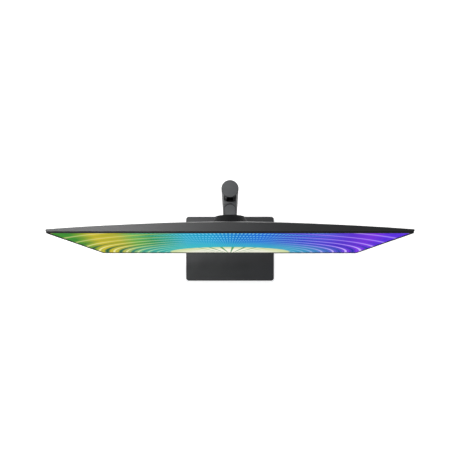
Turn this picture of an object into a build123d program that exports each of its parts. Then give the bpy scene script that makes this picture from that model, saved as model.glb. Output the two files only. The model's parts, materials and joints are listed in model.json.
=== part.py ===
"""A 32-inch desktop monitor on a height-adjustable stand, piece by piece.

Millimetres, +Z up, the screen facing -Y. The origin is at the middle of the base plate's
footprint, on the surface that the feet stand on.

How it moves, from the base up: the carriage slides up and down in the column, the arm swivels
on a vertical pin in front of the column, the head tilts on a shaft in the arm, and the panel
turns on the head from landscape to portrait.
"""

import os

from build123d import *

os.makedirs("parts", exist_ok=True)

# ---------------------------------------------------------------- driving dimensions
# Panel housing
panel_width = 716.0
panel_height = 424.5
panel_drop = 72.0  # from the top of the column down to the middle of the panel
panel_corner_radius = 3.6
housing_wall = 1.7
cut_overrun = 1.0
end_thickness = 7.4  # front to back at the left and right ends
front_frame_depth = 3.4
# thickness on the centre line, from the bottom edge to the top, as (share of half height, mm)
spine = [(-1.0, 28.0), (-0.52, 40.5), (0.0, 42.0), (0.52, 36.5), (1.0, 21.2)]

# Screen
side_lip = 1.6
chin_height = 17.5
chin_thickness = 1.6
screen_inset = 0.4
cell_thickness = 1.2
sheet_thickness = 0.6
guide_thickness = 2.0
reflector_thickness = 0.2
chassis_thickness = 0.6
module_margin = 2.0  # from the cell's edge in to the sheets behind it
layer_gap = 0.05
led_bar_height = 1.2

# Base
base_width = 288.0
base_depth = 210.0
base_corner_radius = 9.0
foot_height = 1.5
tray_thickness = 2.0
plate_thickness = 4.5
tray_inset = 4.0
foot_pad_radius = 9.0
foot_pad_seat = 0.8
foot_edge = 0.5
plate_edge_radius = 1.2
plate_edge_chamfer = 0.6

# Column
column_rear_margin = 21.0  # from the column's axis to the back of the base
column_top_z = 500.0
column_top_radius = 19.4
column_foot_radius = 20.8
column_bore_radius = 16.9
column_channel_width = 28.0
channel_margin = 53.0  # below the carriage's neck at its lowest
channel_recess = 1.6
channel_back = 10.0  # from the column's axis forward to the back of the channel
core_skin = 0.5
slot_start = 10.0  # above the bottom of the channel
cap_thickness = 3.0
cap_plug = 3.0
cap_plug_wall = 2.0
cap_edge_radius = 1.0
core_clearance = 0.2
guide_width = 20.0
guide_depth = 23.0
slot_width = 14.4
column_screw_circle = 10.5
column_screw_radius = 2.5
column_screw_length = 14.0
column_screw_floor_gap = 0.5
column_screw_point = 0.4
hex_share = 0.7  # a hexagon socket's radius as a share of its screw's
column_foot_height = 12.0

# Cable hole through the column
cable_hole_width = 20.0
cable_hole_height = 34.0
cable_hole_z = 92.0
grommet_wall = 1.8
grommet_lip = 0.2
grommet_gap = 0.1

# Lift
height_travel = 120.0
carriage_height = 70.0
carriage_clearance = 0.45
carriage_edge = 1.0
pad_clearance = 0.07
pad_side_gap = 0.1
pad_end_margin = 4.0
pad_thickness = 1.4
pad_height = 14.0
pad_width = 12.0
neck_width = 13.2
neck_height = 30.0
neck_overlap = 1.0
tongue_thickness = 10.0
eye_radius = 11.0
spool_drop = 22.0
spool_axle_radius = 1.6
spool_axle_inset = 2.0
spool_radius = 5.5
spool_width = 16.0
coil_radius = 8.5
coil_cover = 0.5  # how far the spool's flanges stand past the coil
ribbon_gap = 0.1
ribbon_width = 12.0
ribbon_thickness = 0.3

# Swivel
swivel_reach = 40.6  # forward of the column's axis
knuckle_radius = 16.6
knuckle_gap = 1.0
arm_width = 28.0
arm_top = 25.0  # above the head's axis, beside the column
arm_low_top = 19.5  # above the head's axis, where the arm enters the head
arm_wall = 1.8
swivel_pin_radius = 5.0
swivel_head_radius = 8.0
swivel_head_thickness = 2.0
swivel_washer = 0.9
swivel_washer_margin = 1.0
tongue_tip_gap = 1.0
yoke_half_height = 14.0

# Tilt
tilt_reach = 21.4  # forward of the swivel pin
tilt_barrel_radius = 9.0
tilt_shaft_radius = 4.0
tilt_washer = 1.2
tilt_ear_clearance = 0.7  # beyond each side of the arm
tilt_ear_thickness = 3.0
tilt_ear_radius = 7.8
tilt_nut_thickness = 4.0
tilt_shaft_end = 0.5
tilt_shaft_chamfer = 0.4
nut_share = 1.6  # a nut's radius over its thread's

# Head and pivot
head_back_reach = 10.4  # behind the tilt shaft
head_back_radius = 35.5
head_flare = 0.474  # growth in radius for each mm forward
head_rim_gap = 0.7
head_wall = 2.2
head_opening_top = 27.5
head_opening_bottom = 22.5
head_side_clearance = 1.2
head_opening_corner = 3.0
head_edge_radius = 1.5
post_spacing_x = 46.8
post_spacing_z = 24.8
post_radius = 3.0
post_screw_radius = 1.5
post_screw_head = 1.0
post_screw_length = 10.0
bracket_disc_radius = 30.0
bracket_disc_thickness = 2.6
bracket_disc_reach = 14.8  # forward of the tilt shaft
pivot_radius = 8.0
pivot_washer = 1.8
pivot_retainer = 1.4
pivot_retainer_radius = 13.0
pivot_stop_circle = 24.0
pivot_stop_radius = 2.0
pivot_stop_gap = 0.2
pivot_tip = 0.2
friction_ring_margin = 1.0

# Mount on the panel
recess_radius = 52.0
recess_floor_depth = 37.0  # behind the front of the panel
mount_plate_radius = 44.0
mount_plate_thickness = 2.6
mount_screw_circle = 38.0
mount_screw_radius = 2.0
wall_mount_pitch = 100.0
wall_mount_thread_radius = 2.0
wall_mount_face_depth = 39.5
standoff_radius = 4.5
thread_depth = 9.0
bracket_thickness = 2.0
bracket_width = 118.0
bracket_corner = 6.0
mount_screw_length = 8.5

# Connector bay
bay_width = 250.0
bay_floor_depth = 18.5
bay_rise = 40.25  # above the bottom of the panel
bay_height = 44.0
bay_wall = 1.6
socket_depth = 26.5
socket_lip = 0.6
socket_length = 13.0
socket_back = 2.0
# each connector's places along the bay, its width and its depth
socket_sizes = {
    "wide_video_sockets": ((-96.0, -70.0), 15.2, 5.8),
    "keyed_video_socket": ((-42.0,), 17.2, 6.0),
    "slim_data_socket": ((-16.0,), 9.0, 3.2),
    "data_sockets": ((10.0, 34.0), 13.2, 5.8),
    "audio_socket": ((60.0,), 6.4, 6.4),
    "power_inlet": ((96.0,), 9.0, 9.0),
}
# each flat connector's wall, and the width and depth of its tongue
socket_tongues = {
    "wide_video_sockets": (0.6, 10.0, 1.2),
    "keyed_video_socket": (0.6, 11.0, 1.4),
    "slim_data_socket": (0.3, 6.6, 0.7),
    "data_sockets": (0.4, 11.0, 1.8),
}
audio_bore_radius = 1.8
power_bore_radius = 2.8
power_pin_radius = 0.95
power_pin_inset = 1.0

# Boards and speakers
board_width = 224.0
board_bay_gap = 4.0
board_bracket_gap = 5.0
board_thickness = 1.6
driver_width = 160.0
driver_height = 50.0
driver_rise = 43.0  # above the mounting bracket
post_inset = 12.0
board_post_radius = 3.0
speaker_pitch = 330.0
speaker_width = 60.0
speaker_height = 16.0
speaker_depth = 13.0
speaker_rise = 18.25
speaker_corner = 3.0

# Small controls
jog_x = 230.0
jog_rise = 36.25
jog_floor_depth = 14.5
jog_recess_radius = 12.0
jog_cap_radius = 8.0
jog_cap_height = 5.6
jog_pivot_depth = 9.0
jog_stem_reach = 5.5
jog_cap_gap = 2.2
jog_press = 0.5
jog_hole_radius = 3.5
jog_cap_edge = 1.2
jog_body = 13.0
jog_floor = 1.0
jog_well_radius = 5.0
jog_ring_outer = 4.4
jog_ring_inner = 2.9
jog_ring_half = 0.9
jog_pin_radius = 0.6
jog_pin_inset = 0.4
jog_stem_radius = 1.6
jog_stem_foot = 1.4
led_x = 330.0
led_radius = 1.2
lock_x = -170.0
lock_rise = 46.25
lock_width = 7.0
lock_height = 3.0
lock_corner = 0.8
lock_plate_depth = 22.5
lock_plate_thickness = 1.5
vent_drop = 40.25
vent_pitch = 9.0
vent_count = 41
vent_length = 14.0
vent_width = 2.4

# Fits
running = 0.05
snug = 0.1
easy = 0.2
loose = 0.3
press = 0.02


# ---------------------------------------------------------------- worked-out places
column_y = base_depth / 2 - column_rear_margin
swivel_y = column_y - swivel_reach
tilt_y = swivel_y - tilt_reach
head_back_y = tilt_y + head_back_reach
arm_front_y = tilt_y + tilt_barrel_radius - 4.0
bracket_disc_y = tilt_y - bracket_disc_reach
head_front_y = bracket_disc_y + head_rim_gap
recess_floor_y = bracket_disc_y - pivot_washer - mount_plate_thickness - loose
panel_front_y = recess_floor_y - recess_floor_depth
wall_mount_face_y = panel_front_y + wall_mount_face_depth
bay_floor_y = panel_front_y + bay_floor_depth
socket_y = panel_front_y + socket_depth
lock_plate_y = panel_front_y + lock_plate_depth
jog_floor_y = panel_front_y + jog_floor_depth
jog_pivot_y = panel_front_y + jog_pivot_depth
jog_stem_top_y = jog_floor_y + jog_stem_reach
jog_cap_front_y = jog_floor_y + jog_cap_gap
half_width = panel_width / 2
half_height = panel_height / 2
panel_centre_z = column_top_z - panel_drop
panel_bottom_z = panel_centre_z - half_height
panel_top_z = panel_centre_z + half_height
spool_z = column_top_z - spool_drop
bay_bottom_z = panel_bottom_z + bay_rise
bay_top_z = bay_bottom_z + bay_height
board_bottom_z = bay_top_z + board_bay_gap
board_top_z = panel_centre_z - bracket_width / 2 - board_bracket_gap
board_height = board_top_z - board_bottom_z
driver_z = panel_centre_z + bracket_width / 2 + driver_rise
speaker_z = panel_bottom_z + speaker_rise
jog_z = panel_bottom_z + jog_rise
lock_z = panel_bottom_z + lock_rise
vent_z = panel_top_z - vent_drop
frame_back_y = panel_front_y + front_frame_depth
cell_front_y = panel_front_y + screen_inset
cell_width = panel_width - 2 * side_lip - 2 * loose
cell_bottom_z = panel_bottom_z + chin_height + loose
cell_top_z = panel_top_z - side_lip - loose
cell_height = cell_top_z - cell_bottom_z
cell_middle_z = (cell_top_z + cell_bottom_z) / 2
sheet_front_y = cell_front_y + cell_thickness + layer_gap
guide_front_y = sheet_front_y + sheet_thickness + layer_gap
reflector_front_y = guide_front_y + guide_thickness + layer_gap
chassis_front_y = reflector_front_y + reflector_thickness + layer_gap
chassis_back_y = chassis_front_y + chassis_thickness
module_width = cell_width - 2 * module_margin
module_height = cell_height - 2 * module_margin
tray_top_z = foot_height + tray_thickness
base_top_z = tray_top_z + plate_thickness
shell_top_z = column_top_z - cap_thickness
core_radius = column_bore_radius - core_clearance
core_bottom_z = base_top_z + column_foot_height + layer_gap
core_top_z = shell_top_z - cap_plug
carriage_z = panel_centre_z
column_channel_bottom_z = carriage_z - height_travel - neck_height / 2 - channel_margin
carriage_front_y = column_y - guide_depth / 2 + carriage_clearance
collar_rear_radius = column_foot_radius + loose
neck_front_y = column_y - collar_rear_radius + layer_gap
neck_length = carriage_front_y + neck_overlap - neck_front_y
tilt_ear_gap = arm_width + 2 * tilt_ear_clearance
arm_slope = (arm_top - arm_low_top) / (column_y - column_top_radius - head_back_y)


def save(piece, label):
    """Label a finished piece and write it as its own STEP file."""
    piece.part.label = label
    export_step(piece.part, f"parts/{label}.step")


def facing(y):
    """The upright plane at a depth y, centred on the panel, seen from the front.

    Its own x is +X and its own y is +Z, and a negative extrusion goes towards the back.
    """
    return Plane(origin=(0, y, panel_centre_z), x_dir=(1, 0, 0), z_dir=(0, -1, 0))


def level(z):
    """The horizontal plane at a height z."""
    return Plane.XY.offset(z)


hole_plane = Plane(origin=(0, column_y, cable_hole_z), x_dir=(1, 0, 0), z_dir=(0, -1, 0))
head_section = Plane(origin=(0, 0, panel_centre_z), x_dir=(0, 1, 0), z_dir=(1, 0, 0))
head_axis = Axis((0, 0, panel_centre_z), (0, 1, 0))


# ---------------------------------------------------------------- base
with BuildPart() as base_plate:
    with BuildSketch(level(tray_top_z)):
        RectangleRounded(base_width, base_depth, base_corner_radius)
    extrude(amount=plate_thickness)
    fillet(base_plate.faces().sort_by(Axis.Z)[-1].edges(), plate_edge_radius)
    chamfer(base_plate.faces().sort_by(Axis.Z)[0].edges(), plate_edge_chamfer)
    with BuildSketch(level(tray_top_z)):
        with Locations((0, column_y)):
            with PolarLocations(column_screw_circle, 4, start_angle=45):
                Circle(column_screw_radius + loose)
    extrude(amount=plate_thickness, mode=Mode.SUBTRACT)
save(base_plate, "base_plate")

tray_opening = column_screw_circle + 3 * column_screw_radius
foot_spacing_x = base_width - 2 * tray_inset - 4 * foot_pad_radius
foot_spacing_y = (base_depth - 2 * tray_inset - 4 * foot_pad_radius) / 2
tray_rear = base_depth / 2 - tray_inset

with BuildPart() as base_tray:
    with BuildSketch(level(foot_height)):
        RectangleRounded(
            base_width - 2 * tray_inset,
            base_depth - 2 * tray_inset,
            base_corner_radius - tray_inset,
        )
        with Locations((0, tray_rear)):
            Rectangle(
                2 * tray_opening,
                2 * (tray_rear - column_y + tray_opening),
                mode=Mode.SUBTRACT,
            )
    extrude(amount=tray_thickness)
    with BuildSketch(level(foot_height)):
        with GridLocations(foot_spacing_x, foot_spacing_y, 2, 3):
            Circle(foot_pad_radius + loose)
    extrude(amount=foot_pad_seat, mode=Mode.SUBTRACT)
save(base_tray, "base_tray")

with BuildPart() as base_feet:
    with BuildSketch(Plane.XY):
        with GridLocations(foot_spacing_x, foot_spacing_y, 2, 3):
            Circle(foot_pad_radius)
    extrude(amount=foot_height + foot_pad_seat)
    chamfer(base_feet.edges().group_by(Axis.Z)[0], foot_edge)
save(base_feet, "base_feet")

screw_head_thickness = tray_top_z - column_screw_floor_gap
with BuildPart() as column_screws:
    with BuildSketch(level(tray_top_z)):
        with Locations((0, column_y)):
            with PolarLocations(column_screw_circle, 4, start_angle=45):
                Circle(2 * column_screw_radius)
                RegularPolygon(hex_share * column_screw_radius, 6, mode=Mode.SUBTRACT)
    extrude(amount=-screw_head_thickness)
    with BuildSketch(level(tray_top_z)):
        with Locations((0, column_y)):
            with PolarLocations(column_screw_circle, 4, start_angle=45):
                Circle(column_screw_radius)
    extrude(amount=column_screw_length)
    extrude(column_screws.faces().group_by(Axis.Z)[-1], amount=column_screw_point, taper=45)
save(column_screws, "column_screws")

# ---------------------------------------------------------------- column
with BuildPart() as column_foot:
    with BuildSketch(level(base_top_z)):
        with Locations((0, column_y)):
            Circle(core_radius)
            with PolarLocations(column_screw_circle, 4, start_angle=45):
                Circle(column_screw_radius + running, mode=Mode.SUBTRACT)
            Circle(column_screw_circle / 2, mode=Mode.SUBTRACT)
    extrude(amount=column_foot_height)
save(column_foot, "column_foot")

channel_depth = 2 * (column_foot_radius - channel_back)
with BuildPart() as column_shell:
    with BuildSketch(level(base_top_z)):
        with Locations((0, column_y)):
            Circle(column_foot_radius)
    with BuildSketch(level(shell_top_z)):
        with Locations((0, column_y)):
            Circle(column_top_radius)
    loft()
    with BuildSketch(level(base_top_z)):
        with Locations((0, column_y)):
            Circle(column_bore_radius)
    extrude(amount=shell_top_z - base_top_z, mode=Mode.SUBTRACT)
    with BuildSketch(level(column_channel_bottom_z)):
        with Locations((0, column_y - column_foot_radius)):
            Rectangle(column_channel_width, channel_depth)
    extrude(amount=shell_top_z - column_channel_bottom_z, mode=Mode.SUBTRACT)
    with BuildSketch(hole_plane):
        SlotOverall(cable_hole_height, cable_hole_width, rotation=90)
    extrude(amount=2 * column_foot_radius, both=True, mode=Mode.SUBTRACT)
save(column_shell, "column_shell")

with BuildPart() as column_core:
    with BuildSketch(level(core_bottom_z)):
        with Locations((0, column_y)):
            Circle(core_radius)
            Rectangle(guide_width, guide_depth, mode=Mode.SUBTRACT)
    extrude(amount=core_top_z - core_bottom_z)
    with BuildSketch(level(column_channel_bottom_z + loose)):
        with Locations((0, column_y)):
            Circle(column_top_radius - channel_recess)
            Circle(core_radius - core_skin, mode=Mode.SUBTRACT)
        with Locations((0, column_y - column_foot_radius)):
            Rectangle(
                column_channel_width - 2 * loose,
                channel_depth - 2 * loose,
                mode=Mode.INTERSECT,
            )
    extrude(amount=core_top_z - column_channel_bottom_z - loose)
    with BuildSketch(level(column_channel_bottom_z + slot_start)):
        with Locations((0, column_y - guide_depth)):
            Rectangle(slot_width, 3 * guide_depth / 2)
    extrude(amount=core_top_z - column_channel_bottom_z, mode=Mode.SUBTRACT)
    with BuildSketch(hole_plane):
        SlotOverall(cable_hole_height, cable_hole_width, rotation=90)
    extrude(amount=2 * column_foot_radius, both=True, mode=Mode.SUBTRACT)
    with BuildSketch(Plane.YZ):
        with Locations((column_y, spool_z)):
            Circle(spool_axle_radius)
    extrude(amount=core_radius - spool_axle_inset, both=True, mode=Mode.SUBTRACT)
save(column_core, "column_core")

with BuildPart() as column_cap:
    with BuildSketch(level(shell_top_z)):
        with Locations((0, column_y)):
            Circle(column_top_radius)
    extrude(amount=cap_thickness)
    fillet(column_cap.edges().group_by(Axis.Z)[-1], cap_edge_radius)
    with BuildSketch(level(core_top_z)):
        with Locations((0, column_y)):
            Circle(core_radius)
            Circle(core_radius - cap_plug_wall, mode=Mode.SUBTRACT)
            with Locations((0, -column_bore_radius)):
                Rectangle(column_channel_width, column_bore_radius, mode=Mode.SUBTRACT)
    extrude(amount=cap_plug)
save(column_cap, "column_cap")

with BuildPart() as cable_grommet:
    with BuildSketch(hole_plane):
        SlotOverall(
            cable_hole_height - 2 * grommet_gap,
            cable_hole_width - 2 * grommet_gap,
            rotation=90,
        )
        SlotOverall(
            cable_hole_height - 2 * grommet_wall,
            cable_hole_width - 2 * grommet_wall,
            rotation=90,
            mode=Mode.SUBTRACT,
        )
    extrude(amount=2 * column_foot_radius, both=True)
    with BuildSketch(level(cable_hole_z - cable_hole_height)):
        with Locations((0, column_y)):
            Circle(column_foot_radius + grommet_lip)
    extrude(amount=2 * cable_hole_height, mode=Mode.INTERSECT)
save(cable_grommet, "cable_grommet")

# ---------------------------------------------------------------- lift
with BuildPart() as spool_axle:
    with BuildSketch(Plane.YZ):
        with Locations((column_y, spool_z)):
            Circle(spool_axle_radius - press)
    extrude(amount=core_radius - spool_axle_inset - easy, both=True)
save(spool_axle, "spool_axle")

with BuildPart() as lift_spool:
    with BuildSketch(Plane.YZ):
        with Locations((column_y, spool_z)):
            Circle(spool_radius)
    extrude(amount=spool_width / 2, both=True)
    with BuildSketch(Plane.YZ.offset(ribbon_width / 2 + loose)):
        with Locations((column_y, spool_z)):
            Circle(coil_radius + coil_cover)
    extrude(amount=spool_width / 2 - ribbon_width / 2 - loose)
    mirror(about=Plane.YZ)
    with BuildSketch(Plane.YZ):
        with Locations((column_y, spool_z)):
            Circle(spool_axle_radius + running)
    extrude(amount=spool_width, both=True, mode=Mode.SUBTRACT)
save(lift_spool, "lift_spool")

with BuildPart() as spring_coil:
    with BuildSketch(Plane.YZ):
        with Locations((column_y, spool_z)):
            Circle(coil_radius)
            Circle(spool_radius + press, mode=Mode.SUBTRACT)
    extrude(amount=ribbon_width / 2, both=True)
save(spring_coil, "spring_coil")

ribbon_y = column_y + coil_radius + ribbon_gap + ribbon_thickness / 2
ribbon_bottom_z = carriage_z + carriage_height / 2 + layer_gap
with BuildPart() as spring_ribbon:
    with BuildSketch(level(ribbon_bottom_z)):
        with Locations((0, ribbon_y)):
            Rectangle(ribbon_width, ribbon_thickness)
    extrude(amount=spool_z - ribbon_bottom_z)
save(spring_ribbon, "spring_ribbon")

carriage_width = guide_width - 2 * carriage_clearance
carriage_depth = guide_depth - 2 * carriage_clearance
pad_pitch = carriage_height - pad_height - 2 * pad_end_margin
pad_seat = pad_thickness - carriage_clearance + pad_clearance
with BuildPart() as carriage:
    with BuildSketch(level(carriage_z)):
        with Locations((0, column_y)):
            Rectangle(carriage_width, carriage_depth)
    extrude(amount=carriage_height / 2, both=True)
    chamfer(carriage.edges().filter_by(Axis.Z), carriage_edge)
    with BuildSketch(level(carriage_z)):
        with Locations((0, neck_front_y)):
            Rectangle(neck_width, neck_length, align=(Align.CENTER, Align.MIN))
    extrude(amount=neck_height / 2, both=True)
    with BuildSketch(level(carriage_z)):
        with Locations((0, swivel_y)):
            Circle(eye_radius)
            Rectangle(
                neck_width,
                neck_front_y - swivel_y + neck_overlap,
                align=(Align.CENTER, Align.MIN),
            )
    extrude(amount=tongue_thickness / 2, both=True)
    with BuildSketch(level(carriage_z)):
        with Locations((0, swivel_y)):
            Circle(swivel_pin_radius + running)
    extrude(amount=tongue_thickness, both=True, mode=Mode.SUBTRACT)
    for side in (-1, 1):
        with BuildSketch(Plane.YZ.offset(side * carriage_width / 2)):
            with Locations((column_y, carriage_z)):
                with GridLocations(0, pad_pitch, 1, 2):
                    Rectangle(pad_width, pad_height)
        extrude(amount=-side * pad_seat, mode=Mode.SUBTRACT)
save(carriage, "carriage")

with BuildPart() as slide_pads:
    with BuildSketch(Plane.YZ.offset(guide_width / 2 - pad_clearance)):
        with Locations((column_y, carriage_z)):
            with GridLocations(0, pad_pitch, 1, 2):
                Rectangle(pad_width - 2 * pad_side_gap, pad_height - 2 * pad_side_gap)
    extrude(amount=-pad_thickness + 2 * layer_gap)
    mirror(about=Plane.YZ)
save(slide_pads, "slide_pads")

collar_bottom_z = panel_centre_z - arm_low_top
collar_top_z = panel_centre_z + arm_top
with BuildPart() as arm_collar:
    with BuildSketch(level(collar_bottom_z)):
        with Locations((0, swivel_y)):
            Rectangle(arm_width, column_y - swivel_y, align=(Align.CENTER, Align.MIN))
            Circle(knuckle_radius + knuckle_gap, mode=Mode.SUBTRACT)
        with Locations((0, column_y)):
            Circle(collar_rear_radius, mode=Mode.SUBTRACT)
    extrude(amount=collar_top_z - collar_bottom_z)
    with BuildSketch(facing(swivel_y)):
        Rectangle(2 * eye_radius + 2 * loose, tongue_thickness + 2 * loose)
    extrude(amount=-(column_y - swivel_y), mode=Mode.SUBTRACT)
    with BuildSketch(facing(neck_front_y - layer_gap)):
        Rectangle(neck_width + 2 * loose, neck_height + 2 * loose)
    extrude(amount=-(column_y - swivel_y), mode=Mode.SUBTRACT)
save(arm_collar, "arm_collar")

# ---------------------------------------------------------------- arm
ear_start = tongue_thickness / 2 + swivel_washer + 2 * running
barrel_half = tilt_ear_gap / 2 - tilt_washer - 2 * running
yoke_width = arm_width - 2 * arm_wall - 2 * loose


def arm_form(inset):
    """The outside of the arm, or with an inset the hollow inside it."""
    low = -arm_low_top + inset
    rear_y = swivel_y + knuckle_radius
    rear_top = arm_low_top + arm_slope * (rear_y - head_back_y) - inset
    front_top = arm_low_top + arm_slope * (arm_front_y - head_back_y) - inset
    with BuildPart() as form:
        with BuildSketch(level(panel_centre_z + low)):
            with Locations((0, swivel_y)):
                Circle(knuckle_radius - inset)
                Rectangle(arm_width, 2 * (swivel_y - arm_front_y), align=(Align.CENTER, Align.MAX))
            with Locations((0, arm_front_y)):
                Rectangle(
                    arm_width - 2 * inset,
                    rear_y - arm_front_y,
                    align=(Align.CENTER, Align.MIN),
                    mode=Mode.INTERSECT,
                )
        extrude(amount=2 * arm_top)
        with BuildSketch(Plane.YZ):
            with Locations((0, panel_centre_z)):
                Polygon(
                    (arm_front_y, low),
                    (rear_y, low),
                    (rear_y, rear_top),
                    (arm_front_y, front_top),
                    align=None,
                )
        extrude(amount=arm_width, both=True, mode=Mode.INTERSECT)
    return form.part


arm_outside = arm_form(0)
arm_inside = arm_form(arm_wall)
tongue_window = tongue_thickness + 4 * loose

with BuildPart() as arm_shell:
    add(arm_outside)
    add(arm_inside, mode=Mode.SUBTRACT)
    with BuildSketch(Plane.YZ):
        with Locations((tilt_y, panel_centre_z)):
            Circle(tilt_barrel_radius + loose)
    extrude(amount=arm_width, both=True, mode=Mode.SUBTRACT)
    with BuildSketch(facing(swivel_y)):
        Rectangle(2 * arm_width, tongue_window)
    extrude(amount=-2 * knuckle_radius, mode=Mode.SUBTRACT)

with BuildPart() as arm_cover_top:
    add(arm_shell.part)
    split(bisect_by=level(panel_centre_z + layer_gap), keep=Keep.TOP)
save(arm_cover_top, "arm_cover_top")

with BuildPart() as arm_cover_bottom:
    add(arm_shell.part)
    split(bisect_by=level(panel_centre_z - layer_gap), keep=Keep.BOTTOM)
save(arm_cover_bottom, "arm_cover_bottom")

slot_front_y = swivel_y - eye_radius - tongue_tip_gap
with BuildPart() as arm_yoke:
    with BuildSketch(level(panel_centre_z)):
        with Locations((0, swivel_y)):
            Circle(yoke_width / 2)
            Rectangle(yoke_width, swivel_y - tilt_y, align=(Align.CENTER, Align.MAX))
    extrude(amount=yoke_half_height, both=True)
    with BuildSketch(Plane.YZ):
        with Locations((tilt_y, panel_centre_z)):
            Circle(tilt_barrel_radius)
    extrude(amount=barrel_half, both=True)
    with BuildSketch(facing(slot_front_y)):
        Rectangle(2 * arm_width, 2 * ear_start)
    extrude(amount=-2 * knuckle_radius - eye_radius, mode=Mode.SUBTRACT)
    with BuildSketch(level(panel_centre_z)):
        with Locations((0, swivel_y)):
            Circle(swivel_pin_radius + running)
    extrude(amount=2 * yoke_half_height, both=True, mode=Mode.SUBTRACT)
    with BuildSketch(Plane.YZ):
        with Locations((tilt_y, panel_centre_z)):
            Circle(tilt_shaft_radius + running)
    extrude(amount=2 * barrel_half, both=True, mode=Mode.SUBTRACT)
save(arm_yoke, "arm_yoke")

with BuildPart() as swivel_pin:
    with BuildSketch(level(panel_centre_z + yoke_half_height + layer_gap)):
        with Locations((0, swivel_y)):
            Circle(swivel_head_radius)
    extrude(amount=swivel_head_thickness)
    with BuildSketch(level(panel_centre_z + yoke_half_height + layer_gap)):
        with Locations((0, swivel_y)):
            Circle(swivel_pin_radius)
    extrude(amount=-2 * yoke_half_height - layer_gap - swivel_head_thickness)
save(swivel_pin, "swivel_pin")

with BuildPart() as swivel_nut:
    with BuildSketch(level(panel_centre_z - yoke_half_height - layer_gap)):
        with Locations((0, swivel_y)):
            RegularPolygon(swivel_head_radius, 6)
            Circle(swivel_pin_radius, mode=Mode.SUBTRACT)
    extrude(amount=-swivel_head_thickness)
save(swivel_nut, "swivel_nut")

with BuildPart() as swivel_washers:
    with BuildSketch(level(panel_centre_z + tongue_thickness / 2 + running)):
        with Locations((0, swivel_y)):
            Circle(eye_radius - swivel_washer_margin)
            Circle(swivel_pin_radius + running, mode=Mode.SUBTRACT)
    extrude(amount=swivel_washer)
    mirror(about=level(panel_centre_z))
save(swivel_washers, "swivel_washers")

# ---------------------------------------------------------------- head
ear_inner_x = tilt_ear_gap / 2
ear_outer_x = ear_inner_x + tilt_ear_thickness
disc_back_y = bracket_disc_y + bracket_disc_thickness

with BuildPart() as tilt_bracket:
    with BuildSketch(facing(bracket_disc_y)):
        Circle(bracket_disc_radius)
        Circle(pivot_radius + running, mode=Mode.SUBTRACT)
        with GridLocations(post_spacing_x, post_spacing_z, 2, 2):
            Circle(post_screw_radius + snug, mode=Mode.SUBTRACT)
    extrude(amount=-bracket_disc_thickness)
    with BuildSketch(facing(bracket_disc_y)):
        Circle(pivot_stop_circle + pivot_stop_radius + loose)
        Circle(pivot_stop_circle - pivot_stop_radius - loose, mode=Mode.SUBTRACT)
        Polygon(
            (0, 0),
            (-bracket_disc_radius, bracket_disc_radius),
            (bracket_disc_radius, bracket_disc_radius),
            align=None,
            mode=Mode.INTERSECT,
        )
        with PolarLocations(pivot_stop_circle, 2, start_angle=45, angular_range=90, endpoint=True):
            Circle(pivot_stop_radius + loose)
    extrude(amount=-bracket_disc_thickness, mode=Mode.SUBTRACT)
    for side in (-1, 1):
        with BuildSketch(Plane.YZ.offset(side * ear_inner_x)):
            with Locations((tilt_y, panel_centre_z)):
                Circle(tilt_ear_radius)
                Rectangle(
                    tilt_y - disc_back_y,
                    2 * tilt_ear_radius,
                    align=(Align.MAX, Align.CENTER),
                )
                Circle(tilt_shaft_radius, mode=Mode.SUBTRACT)
        extrude(amount=side * tilt_ear_thickness)
save(tilt_bracket, "tilt_bracket")

with BuildPart() as tilt_shaft:
    with BuildSketch(Plane.YZ):
        with Locations((tilt_y, panel_centre_z)):
            Circle(tilt_shaft_radius)
    extrude(amount=ear_outer_x + tilt_nut_thickness + tilt_shaft_end, both=True)
    chamfer(tilt_shaft.edges(), tilt_shaft_chamfer)
save(tilt_shaft, "tilt_shaft")

with BuildPart() as tilt_washers:
    with BuildSketch(Plane.YZ.offset(barrel_half + running)):
        with Locations((tilt_y, panel_centre_z)):
            Circle(tilt_ear_radius)
            Circle(tilt_shaft_radius + running, mode=Mode.SUBTRACT)
    extrude(amount=tilt_washer)
    mirror(about=Plane.YZ)
save(tilt_washers, "tilt_washers")

with BuildPart() as tilt_nuts:
    with BuildSketch(Plane.YZ.offset(ear_outer_x)):
        with Locations((tilt_y, panel_centre_z)):
            RegularPolygon(nut_share * tilt_shaft_radius, 6)
            Circle(tilt_shaft_radius, mode=Mode.SUBTRACT)
    extrude(amount=tilt_nut_thickness)
    mirror(about=Plane.YZ)
save(tilt_nuts, "tilt_nuts")

head_rim_radius = head_back_radius + head_flare * (head_back_y - head_front_y)
opening_height = head_opening_top + head_opening_bottom
with BuildPart() as head_cover:
    with BuildSketch(head_section):
        with BuildLine():
            Polyline(
                (head_back_y, 0),
                (head_back_y, head_back_radius),
                (head_front_y, head_rim_radius),
                (head_front_y, head_rim_radius - head_wall),
                (head_back_y - head_wall, head_back_radius - head_wall),
                (head_back_y - head_wall, 0),
                close=True,
            )
        make_face()
    revolve(axis=head_axis)
    fillet(head_cover.edges().group_by(Axis.Y)[-1], head_edge_radius)
    with BuildSketch(facing(disc_back_y + layer_gap)):
        with GridLocations(post_spacing_x, post_spacing_z, 2, 2):
            Circle(post_radius)
            Circle(post_screw_radius, mode=Mode.SUBTRACT)
    extrude(amount=-(head_back_y - head_wall - disc_back_y))
    with BuildSketch(facing(head_back_y - 2 * head_wall)):
        with Locations((0, (head_opening_top - head_opening_bottom) / 2)):
            RectangleRounded(
                arm_width + 2 * head_side_clearance,
                opening_height,
                head_opening_corner,
            )
    extrude(amount=-3 * head_wall, mode=Mode.SUBTRACT)
save(head_cover, "head_cover")

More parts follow.
